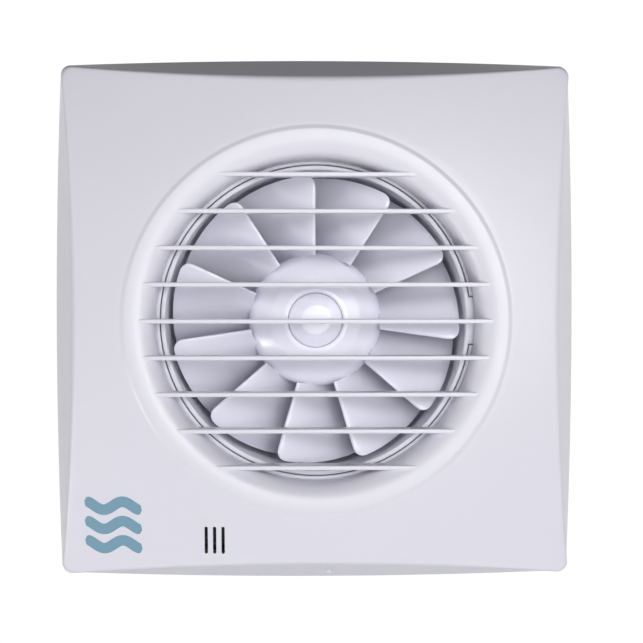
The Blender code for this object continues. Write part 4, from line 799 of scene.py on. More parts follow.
def inside_rings(s, half, front_bow, crest, foot_z):
    """From the throat's end back along the inside of the moulding to its foot."""
    throat_z = CREST_Z - s.bell_depth
    back_r, _ = bell_point(s, math.radians(84), s.wall)
    rings = [flat_ring(circle_outline(back_r), throat_z)]
    for degrees in (75, 62, 50, 38, 26, 14):
        radius, z = bell_point(s, math.radians(degrees), s.wall)
        rings.append(flat_ring(circle_outline(radius), z))
    inner_front = square_outline(half - s.inset_corner - s.wall - 1.2 * MM, front_bow, s.corner)
    for share in (0.75, 0.5, 0.25, 0.0):
        rings.append(on_dome(s, mix_rings(inner_front, crest, share), s.wall))
    inner_foot = square_outline(half - s.wall, s.bow, s.corner - s.wall / 2)
    rings.append(flat_ring(inner_foot, foot_z))
    return rings


def stadium(x, y, width, length, low, high):
    """An upright slot shape with round ends."""
    radius = width / 2
    reach = length / 2 - radius
    ring = [Vector((x, y + reach)) + polar(radius, math.pi * i / 10).xy for i in range(11)]
    ring += [Vector((x, y - reach)) + polar(radius, math.pi + math.pi * i / 10).xy for i in range(11)]
    return loft("slot", [flat_ring(ring, low), flat_ring(ring, high)], closed=False)


class FAN_OT_fascia(bpy.types.Operator):
    """Moulded front cover with its bell-mouth, humidity slots and fixing posts"""
    bl_idname = "fan.fascia"
    bl_label = "Fascia"

    def execute(self, context):
        s, housing = context.scene.fan_fascia, context.scene.fan_housing
        cover = loft("fascia_cover", fascia_rings(s), sharp=50)
        for index in range(s.slot_count):
            x = SENSOR_X + (index - (s.slot_count - 1) / 2) * s.slot_pitch
            cover = carve(cover, stadium(x, SENSOR_Y, s.slot_width, s.slot_length, RIM_Z, CREST_Z), sharp=50)
        hole = upright_rod(LENS_R + 0.08 * MM, -100 * MM, -70 * MM, LENS_X, LENS_Z)
        cover = carve(cover, hole, sharp=50)
        post_r, post_end = 2.0 * MM, 5.0 * MM
        for side in (-1, 1):
            for level in (-1, 1):
                at = (side * (TRAY_HALF - housing.post_inset), level * housing.post_level)
                top = dome_height(s, at) - s.wall / 2
                cover = union(cover, rod("post", post_r, post_end, top, at, 0.5 * MM), sharp=50)
        add_piece("fascia_cover", cover, finish("white_abs"), "fascia", "white_abs", "fascia")
        return {"FINISHED"}


class FAN_OT_louvre(bpy.types.Operator):
    """Slats across the inlet, moulded into the bell-mouth's wall"""
    bl_idname = "fan.louvre"
    bl_label = "Louvre"

    def execute(self, context):
        s, fascia = context.scene.fan_louvre, context.scene.fan_fascia
        front, rear = CREST_Z - s.recess, CREST_Z - fascia.bell_depth
        slats = []
        for index in range(s.count):
            y = (index - (s.count - 1) / 2) * s.pitch
            thick, thin = s.thickness / 2, (s.thickness - s.taper) / 2
            section = rounded([(y - thick, front, s.edge), (y + thick, front, s.edge),
                               (y + thin, rear, 0.3 * MM), (y - thin, rear, 0.3 * MM)], 6)
            ends = [[Vector((x, p.x, p.y)) for p in section] for x in (-fascia.crest_r, fascia.crest_r)]
            slats.append(loft("slat", ends, closed=False))
        half_wall = fascia.wall / 2
        plug = [bell_point(fascia, math.pi / 2 * step / 30, half_wall) for step in range(31)]
        top, throat = CREST_Z + 5 * MM, plug[-1][0]
        corners = [(0.0, top, 0.0), (plug[0][0], top, 0.0), *[(r, z, 0.0) for r, z in plug],
                   (throat, rear - 2 * MM, 0.0), (0.0, rear - 2 * MM, 0.0)]
        louvre = combine(gather("louvre_slats", slats), lathe("plug", corners, 192), "INTERSECT")
        add_piece("louvre_slats", louvre, finish("white_abs"), "fascia", "white_abs")
        return {"FINISHED"}


class FAN_OT_sign(bpy.types.Operator):
    """Plain airflow sign, three short waves, printed in the lower left corner"""
    bl_idname = "fan.sign"
    bl_label = "Airflow sign"

    def execute(self, context):
        s = context.scene.fan_fascia
        centre = Vector((-61.4 * MM, -61.9 * MM))
        half_length, half_width, wave, spacing = 8.8 * MM, 1.65 * MM, 1.3 * MM, 6.0 * MM
        half_turn = 1.5 * math.pi    # of the wave, from a stroke's middle to its end
        end_share = 0.14             # of half a stroke, rounded off at its end
        stations = 48
        strokes = []
        for row in (-1, 0, 1):
            left, right = [], []
            for step in range(stations + 1):
                t = 2 * step / stations - 1
                phase = half_turn * t
                along = Vector((half_length, wave * half_turn * math.cos(phase))).normalized()
                across = Vector((-along.y, along.x))
                into_end = max(abs(t) - (1 - end_share), 0) / end_share
                swell = half_width * math.sqrt(max(1 - into_end ** 2, 0.0004))
                middle = centre + Vector((half_length * t, row * spacing + wave * math.sin(phase)))
                left.append(middle + across * swell)
                right.append(middle - across * swell)
            outline = left + right[::-1]
            strokes.append(loft("stroke", [on_dome(s, outline, 0.1 * MM), on_dome(s, outline, -0.06 * MM)],
                                closed=False))
        add_piece("airflow_sign", gather("airflow_sign", strokes), finish("ink"), "fascia", "blue_plastic")
        return {"FINISHED"}


class FAN_OT_lens(bpy.types.Operator):
    """Domed light guide in the bottom wall"""
    bl_idname = "fan.lens"
    bl_label = "Indicator lens"

    def execute(self, context):
        tip, inner = LENS_LOW.y, LENS_HIGH.y
        corners = [(0.0, inner, 0.0), (LENS_R, inner, 0.1 * MM), (LENS_R, tip, 0.75 * LENS_R),
                   (0.0, tip, 0.0)]
        lens = lathe("indicator_light_guide", corners, 32, steps=8)
        lens.transform(Matrix.Rotation(math.radians(-90), 4, "X"))
        lens.transform(Matrix.Translation((LENS_X, 0.0, LENS_Z)))
        add_piece("indicator_light_guide", lens, finish("lens"), "fascia", "clear_lens", "indicator_lens")
        return {"FINISHED"}


# ---------------------------------------------------------------- impeller

def blade_mesh(s, index):
    """One twisted blade with rounded tip corner, thick in the middle and thin at its edges."""
    root = s.hub_r - s.hub_wall / 2
    tip = IMPELLER_HIGH.x
    front_z = IMPELLER_HIGH.z - s.thickness / 2
    rear_z = IMPELLER_LOW.z + s.thickness / 2
    turn = s.first + 2 * math.pi * index / s.count
    across_steps, back_steps = 22, 26
    corner_share = s.tip_corner / (tip * s.turn)
    edge_share, tip_share = 0.18, 0.1    # of a blade, thinned towards its long edges and its tip

    def middle(i, j):
        across = i / across_steps
        back = (j / back_steps) ** 1.4
        round_off = max(1 - back / corner_share, 0.0)
        here_tip = tip - s.tip_corner * (1 - math.sqrt(max(1 - round_off ** 2, 0.0)))
        radius = root + (here_tip - root) * across
        share = (radius - root) / (tip - root)
        z = front_z - s.root_drop * (1 - share)
        z += (rear_z - z) * back ** s.curl
        return polar(radius, turn + s.turn * back, z)

    grid = [[middle(i, j) for j in range(back_steps + 1)] for i in range(across_steps + 1)]
    rings = []
    for i, row in enumerate(grid):
        upper, lower = [], []
        for j, point in enumerate(row):
            along = row[min(j + 1, back_steps)] - row[max(j - 1, 0)]
            outward = grid[min(i + 1, across_steps)][j] - grid[max(i - 1, 0)][j]
            normal = outward.cross(along).normalized()
            if normal.z < 0:
                normal = -normal
            edge = min(j / back_steps, 1 - j / back_steps, edge_share) / edge_share
            tip_edge = min((across_steps - i) / across_steps, tip_share) / tip_share
            full = math.sqrt(max(edge * (2 - edge), 0)) * math.sqrt(max(tip_edge * (2 - tip_edge), 0))
            half = (s.edge_thickness + (s.thickness - s.edge_thickness) * full) / 2
            upper.append(point + normal * half)
            lower.append(point - normal * half)
        rings.append(upper + lower[::-1])
    return loft("blade", rings, closed=False, sharp=60)


class FAN_OT_impeller(bpy.types.Operator):
    """Hub with its swept blades, and the cap in its nose"""
    bl_idname = "fan.impeller"
    bl_label = "Impeller"

    def execute(self, context):
        s = context.scene.fan_impeller
        recess = CAP_HIGH.x + 0.07 * MM
        floor = CAP_LOW.z - GAP
        nose = floor + 2.6 * MM
        rear = IMPELLER_LOW.z
        under = floor - s.hub_wall
        bore, boss, boss_end = 2.3 * MM, 4.5 * MM, rear + 2 * MM
        inner = s.hub_r - s.hub_wall
        corners = [(bore, floor, 0.0), (recess, floor, 0.2 * MM), (recess, nose - 0.1 * MM, 0.9 * MM),
                   (recess + 1.6 * MM, nose - 0.2 * MM, 1.2 * MM),
                   (0.66 * s.hub_r, nose - 1.1 * MM, 5 * MM), (0.98 * s.hub_r, nose - 4.4 * MM, 5 * MM),
                   (s.hub_r, rear, 0.5 * MM), (inner, rear, 0.4 * MM), (inner, nose - 9 * MM, 3 * MM),
                   (0.70 * s.hub_r, under - 1.2 * MM, 2 * MM), (boss, under - 0.6 * MM, 0.5 * MM),
                   (boss, boss_end, 0.3 * MM), (bore, boss_end, 0.2 * MM)]
        hub = lathe("impeller_wheel", corners, 132, steps=10)
        blades = gather("blades", [blade_mesh(s, index) for index in range(s.count)])
        wheel = combine(hub, blades, "UNION", sharp=60)
        add_piece("impeller_wheel", wheel, finish("blade_abs_painted_light"), "impeller", "impeller_white", "impeller")
        top = CAP_HIGH.z
        cap = lathe("hub_nose_cap", [(0.0, CAP_LOW.z, 0.0), (CAP_HIGH.x, CAP_LOW.z, 0.2 * MM),
                                     (CAP_HIGH.x, nose - 0.1 * MM, 0.9 * MM),
                                     (0.55 * CAP_HIGH.x, top - 0.05 * MM, 4 * MM), (0.0, top, 0.0)],
                    96, steps=8)
        add_piece("hub_nose_cap", cap, finish("blade_abs_painted_light"), "impeller", "impeller_white", "hub_cap")
        return {"FINISHED"}


# ---------------------------------------------------------------- housing and carrier

class FAN_OT_housing(bpy.types.Operator):
    """Back plate with its tray, bosses and sockets, and the duct tube through it"""
    bl_idname = "fan.housing"
    bl_label = "Base housing"

    def execute(self, context):
        s = context.scene.fan_housing
        half, inside = TRAY_HALF, TRAY_HALF - s.tray_wall
        shell = block("base_plate_and_spigot", (-half, half), (-half, half), (0.0, s.tray_height),
                      s.tray_corner, 0.4 * MM)
        shell = carve(shell, block("inside", (-inside, inside), (-inside, inside),
                                   (s.plate, s.tray_height + 5 * MM), s.tray_corner - s.tray_wall, 0.5 * MM),
                      rod("bore", TUBE_R - 1 * MM, -1 * MM, s.tray_height, sides=160))
        rear, ledge_top = HOUSING_LOW.z, CARRIER_LOW.z - GAP
        ledge_r, ledge_low = TUBE_BORE_R - s.ledge, CARRIER_LOW.z - GAP - 2 * MM
        grooves = []
        top, floor, depth, corner = 0.5 * MM, 0.2 * MM, 0.3 * MM, 0.1 * MM    # of a groove, from its middle
        for from_rear in (12 * MM, 9 * MM, 6 * MM):
            z = rear + from_rear
            grooves += [(TUBE_R, z + top, corner), (TUBE_R - depth, z + floor, corner),
                        (TUBE_R - depth, z - floor, corner), (TUBE_R, z - top, corner)]
        tube = [(TUBE_BORE_R, RIM_Z, 0.4 * MM), (TUBE_R, RIM_Z, 0.8 * MM), *grooves,
                (TUBE_R - 0.15 * MM, rear + 1.6 * MM, 0.0), (TUBE_R - 0.6 * MM, rear, 0.5 * MM),
                (TUBE_BORE_R, rear, 0.4 * MM), (TUBE_BORE_R, ledge_low - s.ledge, 0.4 * MM),
                (ledge_r, ledge_low, 0.3 * MM), (ledge_r, ledge_top, 0.2 * MM),
                (TUBE_BORE_R, ledge_top, 0.2 * MM)]
        shell = union(shell, lathe("tube", tube, 192))
        shell = union(shell, *self.raised_parts(s))
        shell = carve(shell, *self.holes(s))
        add_piece("base_plate_and_spigot", shell, finish("white_abs"), "housing", "white_abs",
                  "base_housing")
        return {"FINISHED"}

    @staticmethod
    def corners(s):
        at = TRAY_HALF - s.hole_inset
        return [(x * at, y * at) for x in (-1, 1) for y in (-1, 1)]

    @staticmethod
    def sockets(s):
        return [(x * (TRAY_HALF - s.post_inset), y * s.post_level) for x in (-1, 1) for y in (-1, 1)]

    def raised_parts(self, s):
        base = s.plate / 2
        made = [rod("boss", s.boss_r, base, s.plate + 2 * MM, at, 0.5 * MM, 48) for at in self.corners(s)]
        made += [rod("socket", s.socket_r + 1.7 * MM, base, s.socket_height, at, 0.4 * MM, 40)
                 for at in self.sockets(s)]
        for name in BOARD_SCREWS + CLAMP_SCREWS:
            made.append(rod("standoff", 2.6 * MM, base, BOARD_LOW.z - GAP, middle_of(name), 0.3 * MM, 40))
        for index in range(s.gussets):
            angle = 2 * math.pi * (index + 0.5) / s.gussets
            if math.sin(angle) > -0.5:
                made.append(block("gusset", (TUBE_R - 1 * MM, TUBE_R + 8 * MM), (-s.rib / 2, s.rib / 2),
                                  (base, s.tray_height - 3 * MM), 0.0, 0.25 * MM, angle))
        return made

    def holes(self, s):
        above = 20 * MM
        made = [rod("hole", s.hole_r, -5 * MM, above, at, 0.0, 40) for at in self.corners(s)]
        made += [rod("hole", s.socket_r, s.plate / 2, above, at, 0.0, 40) for at in self.sockets(s)]
        made += screw_holes(BOARD_SCREWS + CLAMP_SCREWS, s.plate / 2, above)
        made.append(rod("hole", 6.0 * MM, -5 * MM, 5 * MM, middle_of("cable_grommet"), 0.0, 48))
        lug = bpy.context.scene.fan_carrier
        notch = lug.lug_width / 2 + GAP
        made.append(block("notch", (TUBE_BORE_R - 3 * MM, TUBE_R + 3 * MM), (-notch, notch),
                          (RIM_Z - lug.lug_height - GAP, RIM_Z + 2 * MM)))
        low, high = bench_box("motor_lead")
        entry = rod("hole", 1.5 * MM, TUBE_BORE_R - 2 * MM, TUBE_R + 2 * MM, sides=32)
        entry.transform(Matrix.Rotation(math.radians(90), 4, "Y"))
        entry.transform(Matrix.Rotation(math.atan2(low.y, low.x), 4, "Z"))
        entry.transform(Matrix.Translation((0, 0, high.z - 0.7 * MM)))
        made.append(entry)
        return made


class FAN_OT_carrier(bpy.types.Operator):
    """Sleeve with three struts and the cup that holds the motor"""
    bl_idname = "fan.carrier"
    bl_label = "Motor carrier"

    def execute(self, context):
        s = context.scene.fan_carrier
        rear = CARRIER_LOW.z
        front = rear + s.strut_depth
        bore = CARRIER_R - s.wall
        cup_bore = CAN_HIGH.x + GAP
        floor_z = END_CAP_LOW.z - GAP
        vent_r, cup_r, cup_front = 6.45 * MM, cup_bore + s.cup_wall, front + 1 * MM
        sleeve = lathe("motor_carrier_sleeve", [(bore, RIM_Z, 0.5 * MM), (CARRIER_R, RIM_Z, 0.3 * MM),
                                                (CARRIER_R, rear, 0.4 * MM), (bore, rear, 0.4 * MM)], 192)
        struts = [block("strut", (cup_bore + 0.5 * MM, CARRIER_R - 0.5 * MM),
                        (-s.strut_width / 2, s.strut_width / 2), (rear, front), 0.0, 0.7 * MM,
                        math.radians(angle)) for angle in (30, 150, 270)]
        cup = lathe("cup", [(vent_r, floor_z, 0.3 * MM), (cup_bore, floor_z, 0.3 * MM),
                            (cup_bore, cup_front, 0.4 * MM), (cup_r, cup_front, 0.5 * MM),
                            (cup_r, rear, 0.8 * MM), (vent_r, rear, 0.3 * MM)], 96)
        lug = block("lug", (CARRIER_R - 0.7 * MM, TUBE_R - GAP), (-s.lug_width / 2, s.lug_width / 2),
                    (RIM_Z - s.lug_height, RIM_Z), 0.0, 0.35 * MM)
        carrier = union(sleeve, *struts, cup, lug)
        holes = screw_holes(MOTOR_SCREWS, rear - 1 * MM, floor_z + 1 * MM)
        low, high = bench_box("motor_lead")
        slot = block("slot", (bore - 2 * MM, CARRIER_R + 2 * MM), (-1.5 * MM, 1.5 * MM),
                     (low.z - 1.3 * MM, high.z + 1.3 * MM), turn=math.atan2(low.y, low.x))
        carrier = carve(carrier, *holes, slot)
        add_piece("motor_carrier_sleeve", carrier, finish("grey_abs_painted_light"), "housing", "grey_plastic",
                  "motor_carrier")
        return {"FINISHED"}


# ---------------------------------------------------------------- motor

class FAN_OT_motor(bpy.types.Operator):
    """Drawn steel shell of the motor, its end cap and the screws that hold it"""
    bl_idname = "fan.motor"
    bl_label = "Motor"

    def execute(self, context):
        radius, wall, hole = CAN_HIGH.x, 1.2 * MM, 2.6 * MM
        front, split = CAN_HIGH.z, CAN_LOW.z
        can = lathe("motor_can_drawn", [(hole, front, 0.2 * MM), (radius, front, 1.6 * MM),
                                        (radius, split, 0.2 * MM), (radius - wall, split, 0.1 * MM),
                                        (radius - wall, front - wall, 0.8 * MM),
                                        (hole, front - wall, 0.1 * MM)], 96)
        add_piece("motor_can_drawn", can, finish("steel"), "housing", "zinc_steel", "motor_can")
        rear = END_CAP_LOW.z
        cap = lathe("motor_end_cap_drawn", [(hole, rear, 0.2 * MM), (radius, rear, 1.6 * MM),
                                            (radius, END_CAP_HIGH.z, 0.2 * MM),
                                            (radius - wall, END_CAP_HIGH.z, 0.1 * MM),
                                            (radius - wall, rear + wall, 0.8 * MM),
                                            (hole, rear + wall, 0.1 * MM)], 96)
        cap = carve(cap, *screw_holes(MOTOR_SCREWS, rear - 1 * MM, rear + 3 * MM))
        add_piece("motor_end_cap_drawn", cap, finish("steel"), "housing", "zinc_steel", "motor_end_cap")
        for name in MOTOR_SCREWS:
            add_screw(name, -1)
        return {"FINISHED"}


# ---------------------------------------------------------------- shutter

class FAN_OT_shutter(bpy.types.Operator):
    """Ring, hinge pin, two ribbed flaps and their springs"""
    bl_idname = "fan.shutter"
    bl_label = "Backdraught shutter"

    def execute(self, context):
        s = context.scene.fan_shutter
        front, rear = RING_HIGH.z, RING_LOW.z
        outer, bore = RING_HIGH.x, RING_HIGH.x - s.wall
        seat_r, seat_rear = bore - s.seat, front - s.seat
        ring = lathe("shutter_frame_ring", [(seat_r, front, 0.4 * MM), (outer, front, 0.5 * MM),
                                            (outer, rear, 0.5 * MM), (bore, rear, 0.5 * MM),
                                            (bore, seat_rear, 0.2 * MM), (seat_r, seat_rear, 0.3 * MM)],
                     160)
        ring = union(ring, block("bar", (-s.bar / 2, s.bar / 2), (-seat_r - 1 * MM, seat_r + 1 * MM),
                                 (seat_rear, front), 0.0, 0.5 * MM))
        hinge_z = (PIN_LOW.z + PIN_HIGH.z) / 2
        pin_hole_r, past = 1.3 * MM, 2 * MM
        hole = upright_rod(pin_hole_r, -outer - past, outer + past, 0.0, hinge_z)
        add_piece("shutter_frame_ring", carve(ring, hole), finish("grey_abs_painted_light"), "housing", "grey_plastic",
                  "shutter_ring")
        pin = upright_rod(PIN_HIGH.x, PIN_LOW.y, PIN_HIGH.y, 0.0, hinge_z, 0.3 * MM)
        add_piece("hinge_pin_ground", pin, finish("steel"), "housing", "zinc_steel", "hinge_pin")
        self.add_flap(s, "left", -1, (-22 * MM, 22 * MM), -6 * MM, hinge_z)
        self.add_flap(s, "right", 1, (-34 * MM, 34 * MM), 3 * MM, hinge_z)
        return {"FINISHED"}

    def add_flap(self, s, name, side, knuckles, spring_y, hinge_z):
        """Half a disc with a thicker rim, ribs and two knuckles on the pin, and the spring that closes it."""
        front, radius = FLAP_HIGH.z, FLAP_HIGH.x
        rear = front - s.flap
        rim_rear, rim_r = rear - 0.4 * MM, radius - 1.6 * MM
        inner_x = s.knuckle_r + 0.4 * MM
        flap = lathe("flap", [(0.0, front, 0.0), (radius, front, 0.25 * MM), (radius, rim_rear, 0.3 * MM),
                              (rim_r, rim_rear, 0.4 * MM), (rim_r - 0.4 * MM, rear, 0.4 * MM),
                              (0.0, rear, 0.0)], 160)
        outward = 0.0 if side > 0 else math.pi
        ribs = [block("rib", (10 * MM, radius - 1 * MM), (-0.5 * MM, 0.5 * MM),
                      (rear - s.rib, rear + 0.3 * MM), 0.0, 0.2 * MM, math.radians(angle) + outward)
                for angle in (-50, -25, 0, 25, 50)]
        flap = union(flap, *ribs)
        past = 5 * MM
        away = sorted((-side * (radius + past), side * inner_x))
        flap = carve(flap, block("half", away, (-radius - past, radius + past), (rear - past, front + past)))
        bore_r = PIN_HIGH.x + 0.25 * MM
        tab_x = sorted((0.0, side * (inner_x + 2 * MM)))
        tab_z = (rear + 0.06 * MM, front - GAP / 2)    # clear of the flap's own faces
        for y in knuckles:
            low, high = y - s.knuckle_length / 2, y + s.knuckle_length / 2
            flap = union(flap, block("tab", tab_x, (low, high), tab_z, 0.0, 0.2 * MM),
                         upright_rod(s.knuckle_r, low, high, 0.0, hinge_z, 0.2 * MM))
            flap = carve(flap, upright_rod(bore_r, low - 1 * MM, high + 1 * MM, 0.0, hinge_z))
        add_piece(f"ribbed_flap_{name}", flap, finish("white_abs"), f"flap_{name}", "white_abs",
                  f"flap_{name}")
        clear, steps = 0.15 * MM, 24
        coil_r = bore_r + s.spring_wire + clear
        leg_z = rear - hinge_z - s.spring_wire - clear
        leg_end, leg_bend = 9 * MM, 4.5 * MM
        points = [(side * leg_end, spring_y, hinge_z + leg_z),
                  (side * leg_bend, spring_y, hinge_z + (leg_z - coil_r) / 2)]
        for step in range(s.spring_turns * steps + steps // 2):
            angle = math.radians(-90) - 2 * math.pi * step / steps
            points.append((side * coil_r * math.cos(angle),
                           spring_y + 2.1 * s.spring_wire * step / steps,
                           hinge_z + coil_r * math.sin(angle)))
        add_wire(f"torsion_spring_{name}", points, s.spring_wire, finish("steel"), f"flap_{name}",
                 "zinc_steel", f"flap_spring_{name}")


# ---------------------------------------------------------------- board and cable entry

class FAN_OT_board(bpy.types.Operator):
    """Circuit board with its solder joints, the parts on it and their screws"""
    bl_idname = "fan.board"
    bl_label = "Circuit board"

    def execute(self, context):
        top = BOARD_HIGH.z
        board = block("timer_board", (BOARD_LOW.x, BOARD_HIGH.x), (BOARD_LOW.y, BOARD_HIGH.y),
                      (BOARD_LOW.z, top), 1.5 * MM, 0.1 * MM)
        board = carve(board, *screw_holes(BOARD_SCREWS, BOARD_LOW.z - 1 * MM, top + 1 * MM))
        add_piece("timer_board", board, finish("laminate"), "housing", "green_laminate", "circuit_board")
        self.add_joints(top)
        self.add_capacitors()
        self.add_chip()
        self.add_sensor()
        self.add_terminals()
        for name in BOARD_SCREWS:
            add_screw(name, 1)
        return {"FINISHED"}

    @staticmethod
    def add_joints(top):
        """Domed solder joints beside the parts and in a row along the board's lower edge."""
        joints = []
        first, pitch, stagger, up = 20 * MM, 4.2 * MM, 0.9 * MM, 1.6 * MM
        for index in range(14):
            at = (BOARD_LOW.x + first + pitch * index, BOARD_LOW.y + up + stagger * (index % 2))
            if not any(near(at, name) for name in ON_BOARD):
                joints.append(lathe("joint", [(0.0, top + 0.45 * MM, 0.0), (0.75 * MM, top, 0.25 * MM),
                                              (0.0, top - 0.1 * MM, 0.0)], 20, at))
        add_piece("solder_joints", gather("solder_joints", joints), finish("steel"), "housing",
                  "zinc_steel")

    @staticmethod
    def add_capacitors():
        low, high = bench_box("film_capacitor")
        film = block("film_capacitor_case", (low.x, high.x), (low.y, high.y), (low.z, high.z), 1.0 * MM,
                     0.7 * MM)
        add_piece("film_capacitor_case", film, finish("yellow_epoxy"), "housing", "film_epoxy",
                  "film_capacitor")
        low, high = bench_box("smoothing_capacitor")
        middle, radius = middle_of("smoothing_capacitor"), (high.x - low.x) / 2
        lip_r, well_z = 0.78 * radius, high.z - 0.5 * MM
        crimp_z, crimp_half = low.z + 1.1 * MM, 0.5 * MM
        sleeve = lathe("smoothing_capacitor_sleeve",
                       [(lip_r, high.z, 0.1 * MM), (radius, high.z, 0.4 * MM),
                        (radius, crimp_z + crimp_half, 0.2 * MM), (radius - 0.35 * MM, crimp_z, 0.2 * MM),
                        (radius, crimp_z - crimp_half, 0.2 * MM), (radius, low.z, 0.3 * MM),
                        (0.0, low.z, 0.0), (0.0, well_z, 0.0), (lip_r, well_z, 0.0)], 64, middle)
        add_piece("smoothing_capacitor_sleeve", sleeve, finish("blue_nylon"), "housing", "blue_plastic",
                  "smoothing_capacitor")
        lid_r, lid_top, lid_low = 0.76 * radius, high.z - 0.15 * MM, high.z - 0.45 * MM
        lid = lathe("capacitor_lid", [(0.0, lid_top, 0.0), (lid_r, lid_top, 0.1 * MM), (lid_r, lid_low, 0.0),
                                      (0.0, lid_low, 0.0)], 64, middle)
        scores = []
        for angle in (0, 90):
            score = block("score", (-radius, radius), (-0.12 * MM, 0.12 * MM), (high.z - 0.3 * MM, high.z),
                          turn=math.radians(angle))
            score.transform(Matrix.Translation((*middle, 0.0)))
            scores.append(score)
        add_piece("capacitor_lid", carve(lid, *scores), finish("steel"), "housing", "zinc_steel")

    @staticmethod
    def add_chip():
        low, high = bench_box("control_chip")
        body = block("control_chip_case", (low.x, high.x), (low.y + 0.5 * MM, high.y - 0.5 * MM),
                     (low.z, high.z), 0.0, 0.15 * MM)
        body = carve(body, rod("dimple", 0.35 * MM, high.z - 0.15 * MM, high.z + 1 * MM,
                               (low.x + 0.9 * MM, low.y + 1.2 * MM), 0, 24))
        add_piece("control_chip_case", body, finish("black_pvc"), "housing", "black_plastic",
                  "control_chip")
        legs = []
        pairs, half_width, reach, top = 4, 0.22 * MM, 0.7 * MM, low.z + 0.8 * MM
        for index in range(pairs):
            x = low.x + (index + 0.5) * (high.x - low.x) / pairs
            for y in ((low.y, low.y + reach), (high.y - reach, high.y)):
                legs.append(block("leg", (x - half_width, x + half_width), y, (low.z, top), 0.0, 0.08 * MM))
        add_piece("control_chip_legs", gather("control_chip_legs", legs), finish("steel"), "housing",
                  "zinc_steel")

    @staticmethod
    def add_sensor():
        low, high = SENSOR_LOW, SENSOR_HIGH
        body = block("humidity_sensor_case", (low.x, high.x), (low.y, high.y), (low.z, high.z), 0.8 * MM,
                     0.4 * MM)
        windows = []
        column_pitch, row_pitch = 1.3 * MM, 1.5 * MM
        for column in (-2, -1, 0, 1, 2):
            for row in (-1, 0, 1):
                at = (SENSOR_X + column * column_pitch, SENSOR_Y + row * row_pitch)
                windows.append(rod("window", 0.4 * MM, high.z - 1 * MM, high.z + 1 * MM, at, 0, 20))
        body = carve(body, gather("windows", windows))
        add_piece("humidity_sensor_case", body, finish("black_pvc"), "housing", "black_plastic",
                  "humidity_sensor")

    @staticmethod
    def add_terminals():
        low, high = bench_box("terminal_block")
        ways = 3
        pitch = (high.x - low.x) / ways
        body = block("terminal_block_case", (low.x, high.x), (low.y, high.y), (low.z, high.z), 0.6 * MM,
                     0.3 * MM)
        for way in range(ways):
            name = f"terminal_screw_{way + 1}"
            x, y = middle_of(name)
            body = carve(body, rod("well", 2.2 * MM, high.z - 5 * MM, high.z + 1 * MM, (x, y), 0, 40),
                         block("entry", (x - 1.8 * MM, x + 1.8 * MM), (y + 3 * MM, high.y + 1 * MM),
                               (low.z + 1 * MM, low.z + 4.5 * MM)))
            if way:
                edge = low.x + way * pitch
                body = carve(body, block("groove", (edge - 0.25 * MM, edge + 0.25 * MM),
                                         (low.y - 1 * MM, high.y + 1 * MM),
                                         (high.z - 0.6 * MM, high.z + 1 * MM)))
            add_screw(name, 1)
        add_piece("terminal_block_case", body, finish("grey_abs_painted_light"), "housing", "grey_plastic",
                  "terminal_block")


class FAN_OT_cable_entry(bpy.types.Operator):
    """Rubber grommet and the bar that clamps the supply cable"""
    bl_idname = "fan.cable_entry"
    bl_label = "Cable entry"

    def execute(self, context):
        low, high = bench_box("cable_grommet")
        flange, neck, bore = (high.x - low.x) / 2, 5.7 * MM, 3.6 * MM
        flange_rear = high.z - 1.5 * MM
        grommet = lathe("cable_grommet_moulded",
                        [(bore, high.z, 0.6 * MM), (flange, high.z, 0.6 * MM),
                         (flange, flange_rear, 0.3 * MM), (neck, flange_rear, 0.1 * MM),
                         (neck, low.z, 0.4 * MM), (bore, low.z, 0.4 * MM)],
                        64, middle_of("cable_grommet"))
        add_piece("cable_grommet_moulded", grommet, finish("rubber"), "housing", "grey_rubber",
                  "cable_grommet")
        low, high = bench_box("cable_clamp")
        bar = block("cable_clamp_bar", (low.x, high.x), (low.y, high.y), (low.z, high.z), 1.5 * MM, 0.35 * MM)
        bar = carve(bar, *screw_holes(CLAMP_SCREWS, low.z - 1 * MM, high.z + 1 * MM))
        add_piece("cable_clamp_bar", bar, finish("grey_abs_painted_light"), "housing", "grey_plastic", "cable_clamp")
        for name in CLAMP_SCREWS:
            add_screw(name, 1)
        return {"FINISHED"}


class FAN_OT_inner_finishes(bpy.types.Operator):
    """Gives the CAD pieces that stay their real finishes"""
    bl_idname = "fan.inner_finishes"
    bl_label = "Inner finishes"

    def execute(self, context):
        for node, name in INNER_FINISHES.items():
            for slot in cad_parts[node].material_slots:
                slot.material = finish(name)
        return {"FINISHED"}


# ---------------------------------------------------------------- studio

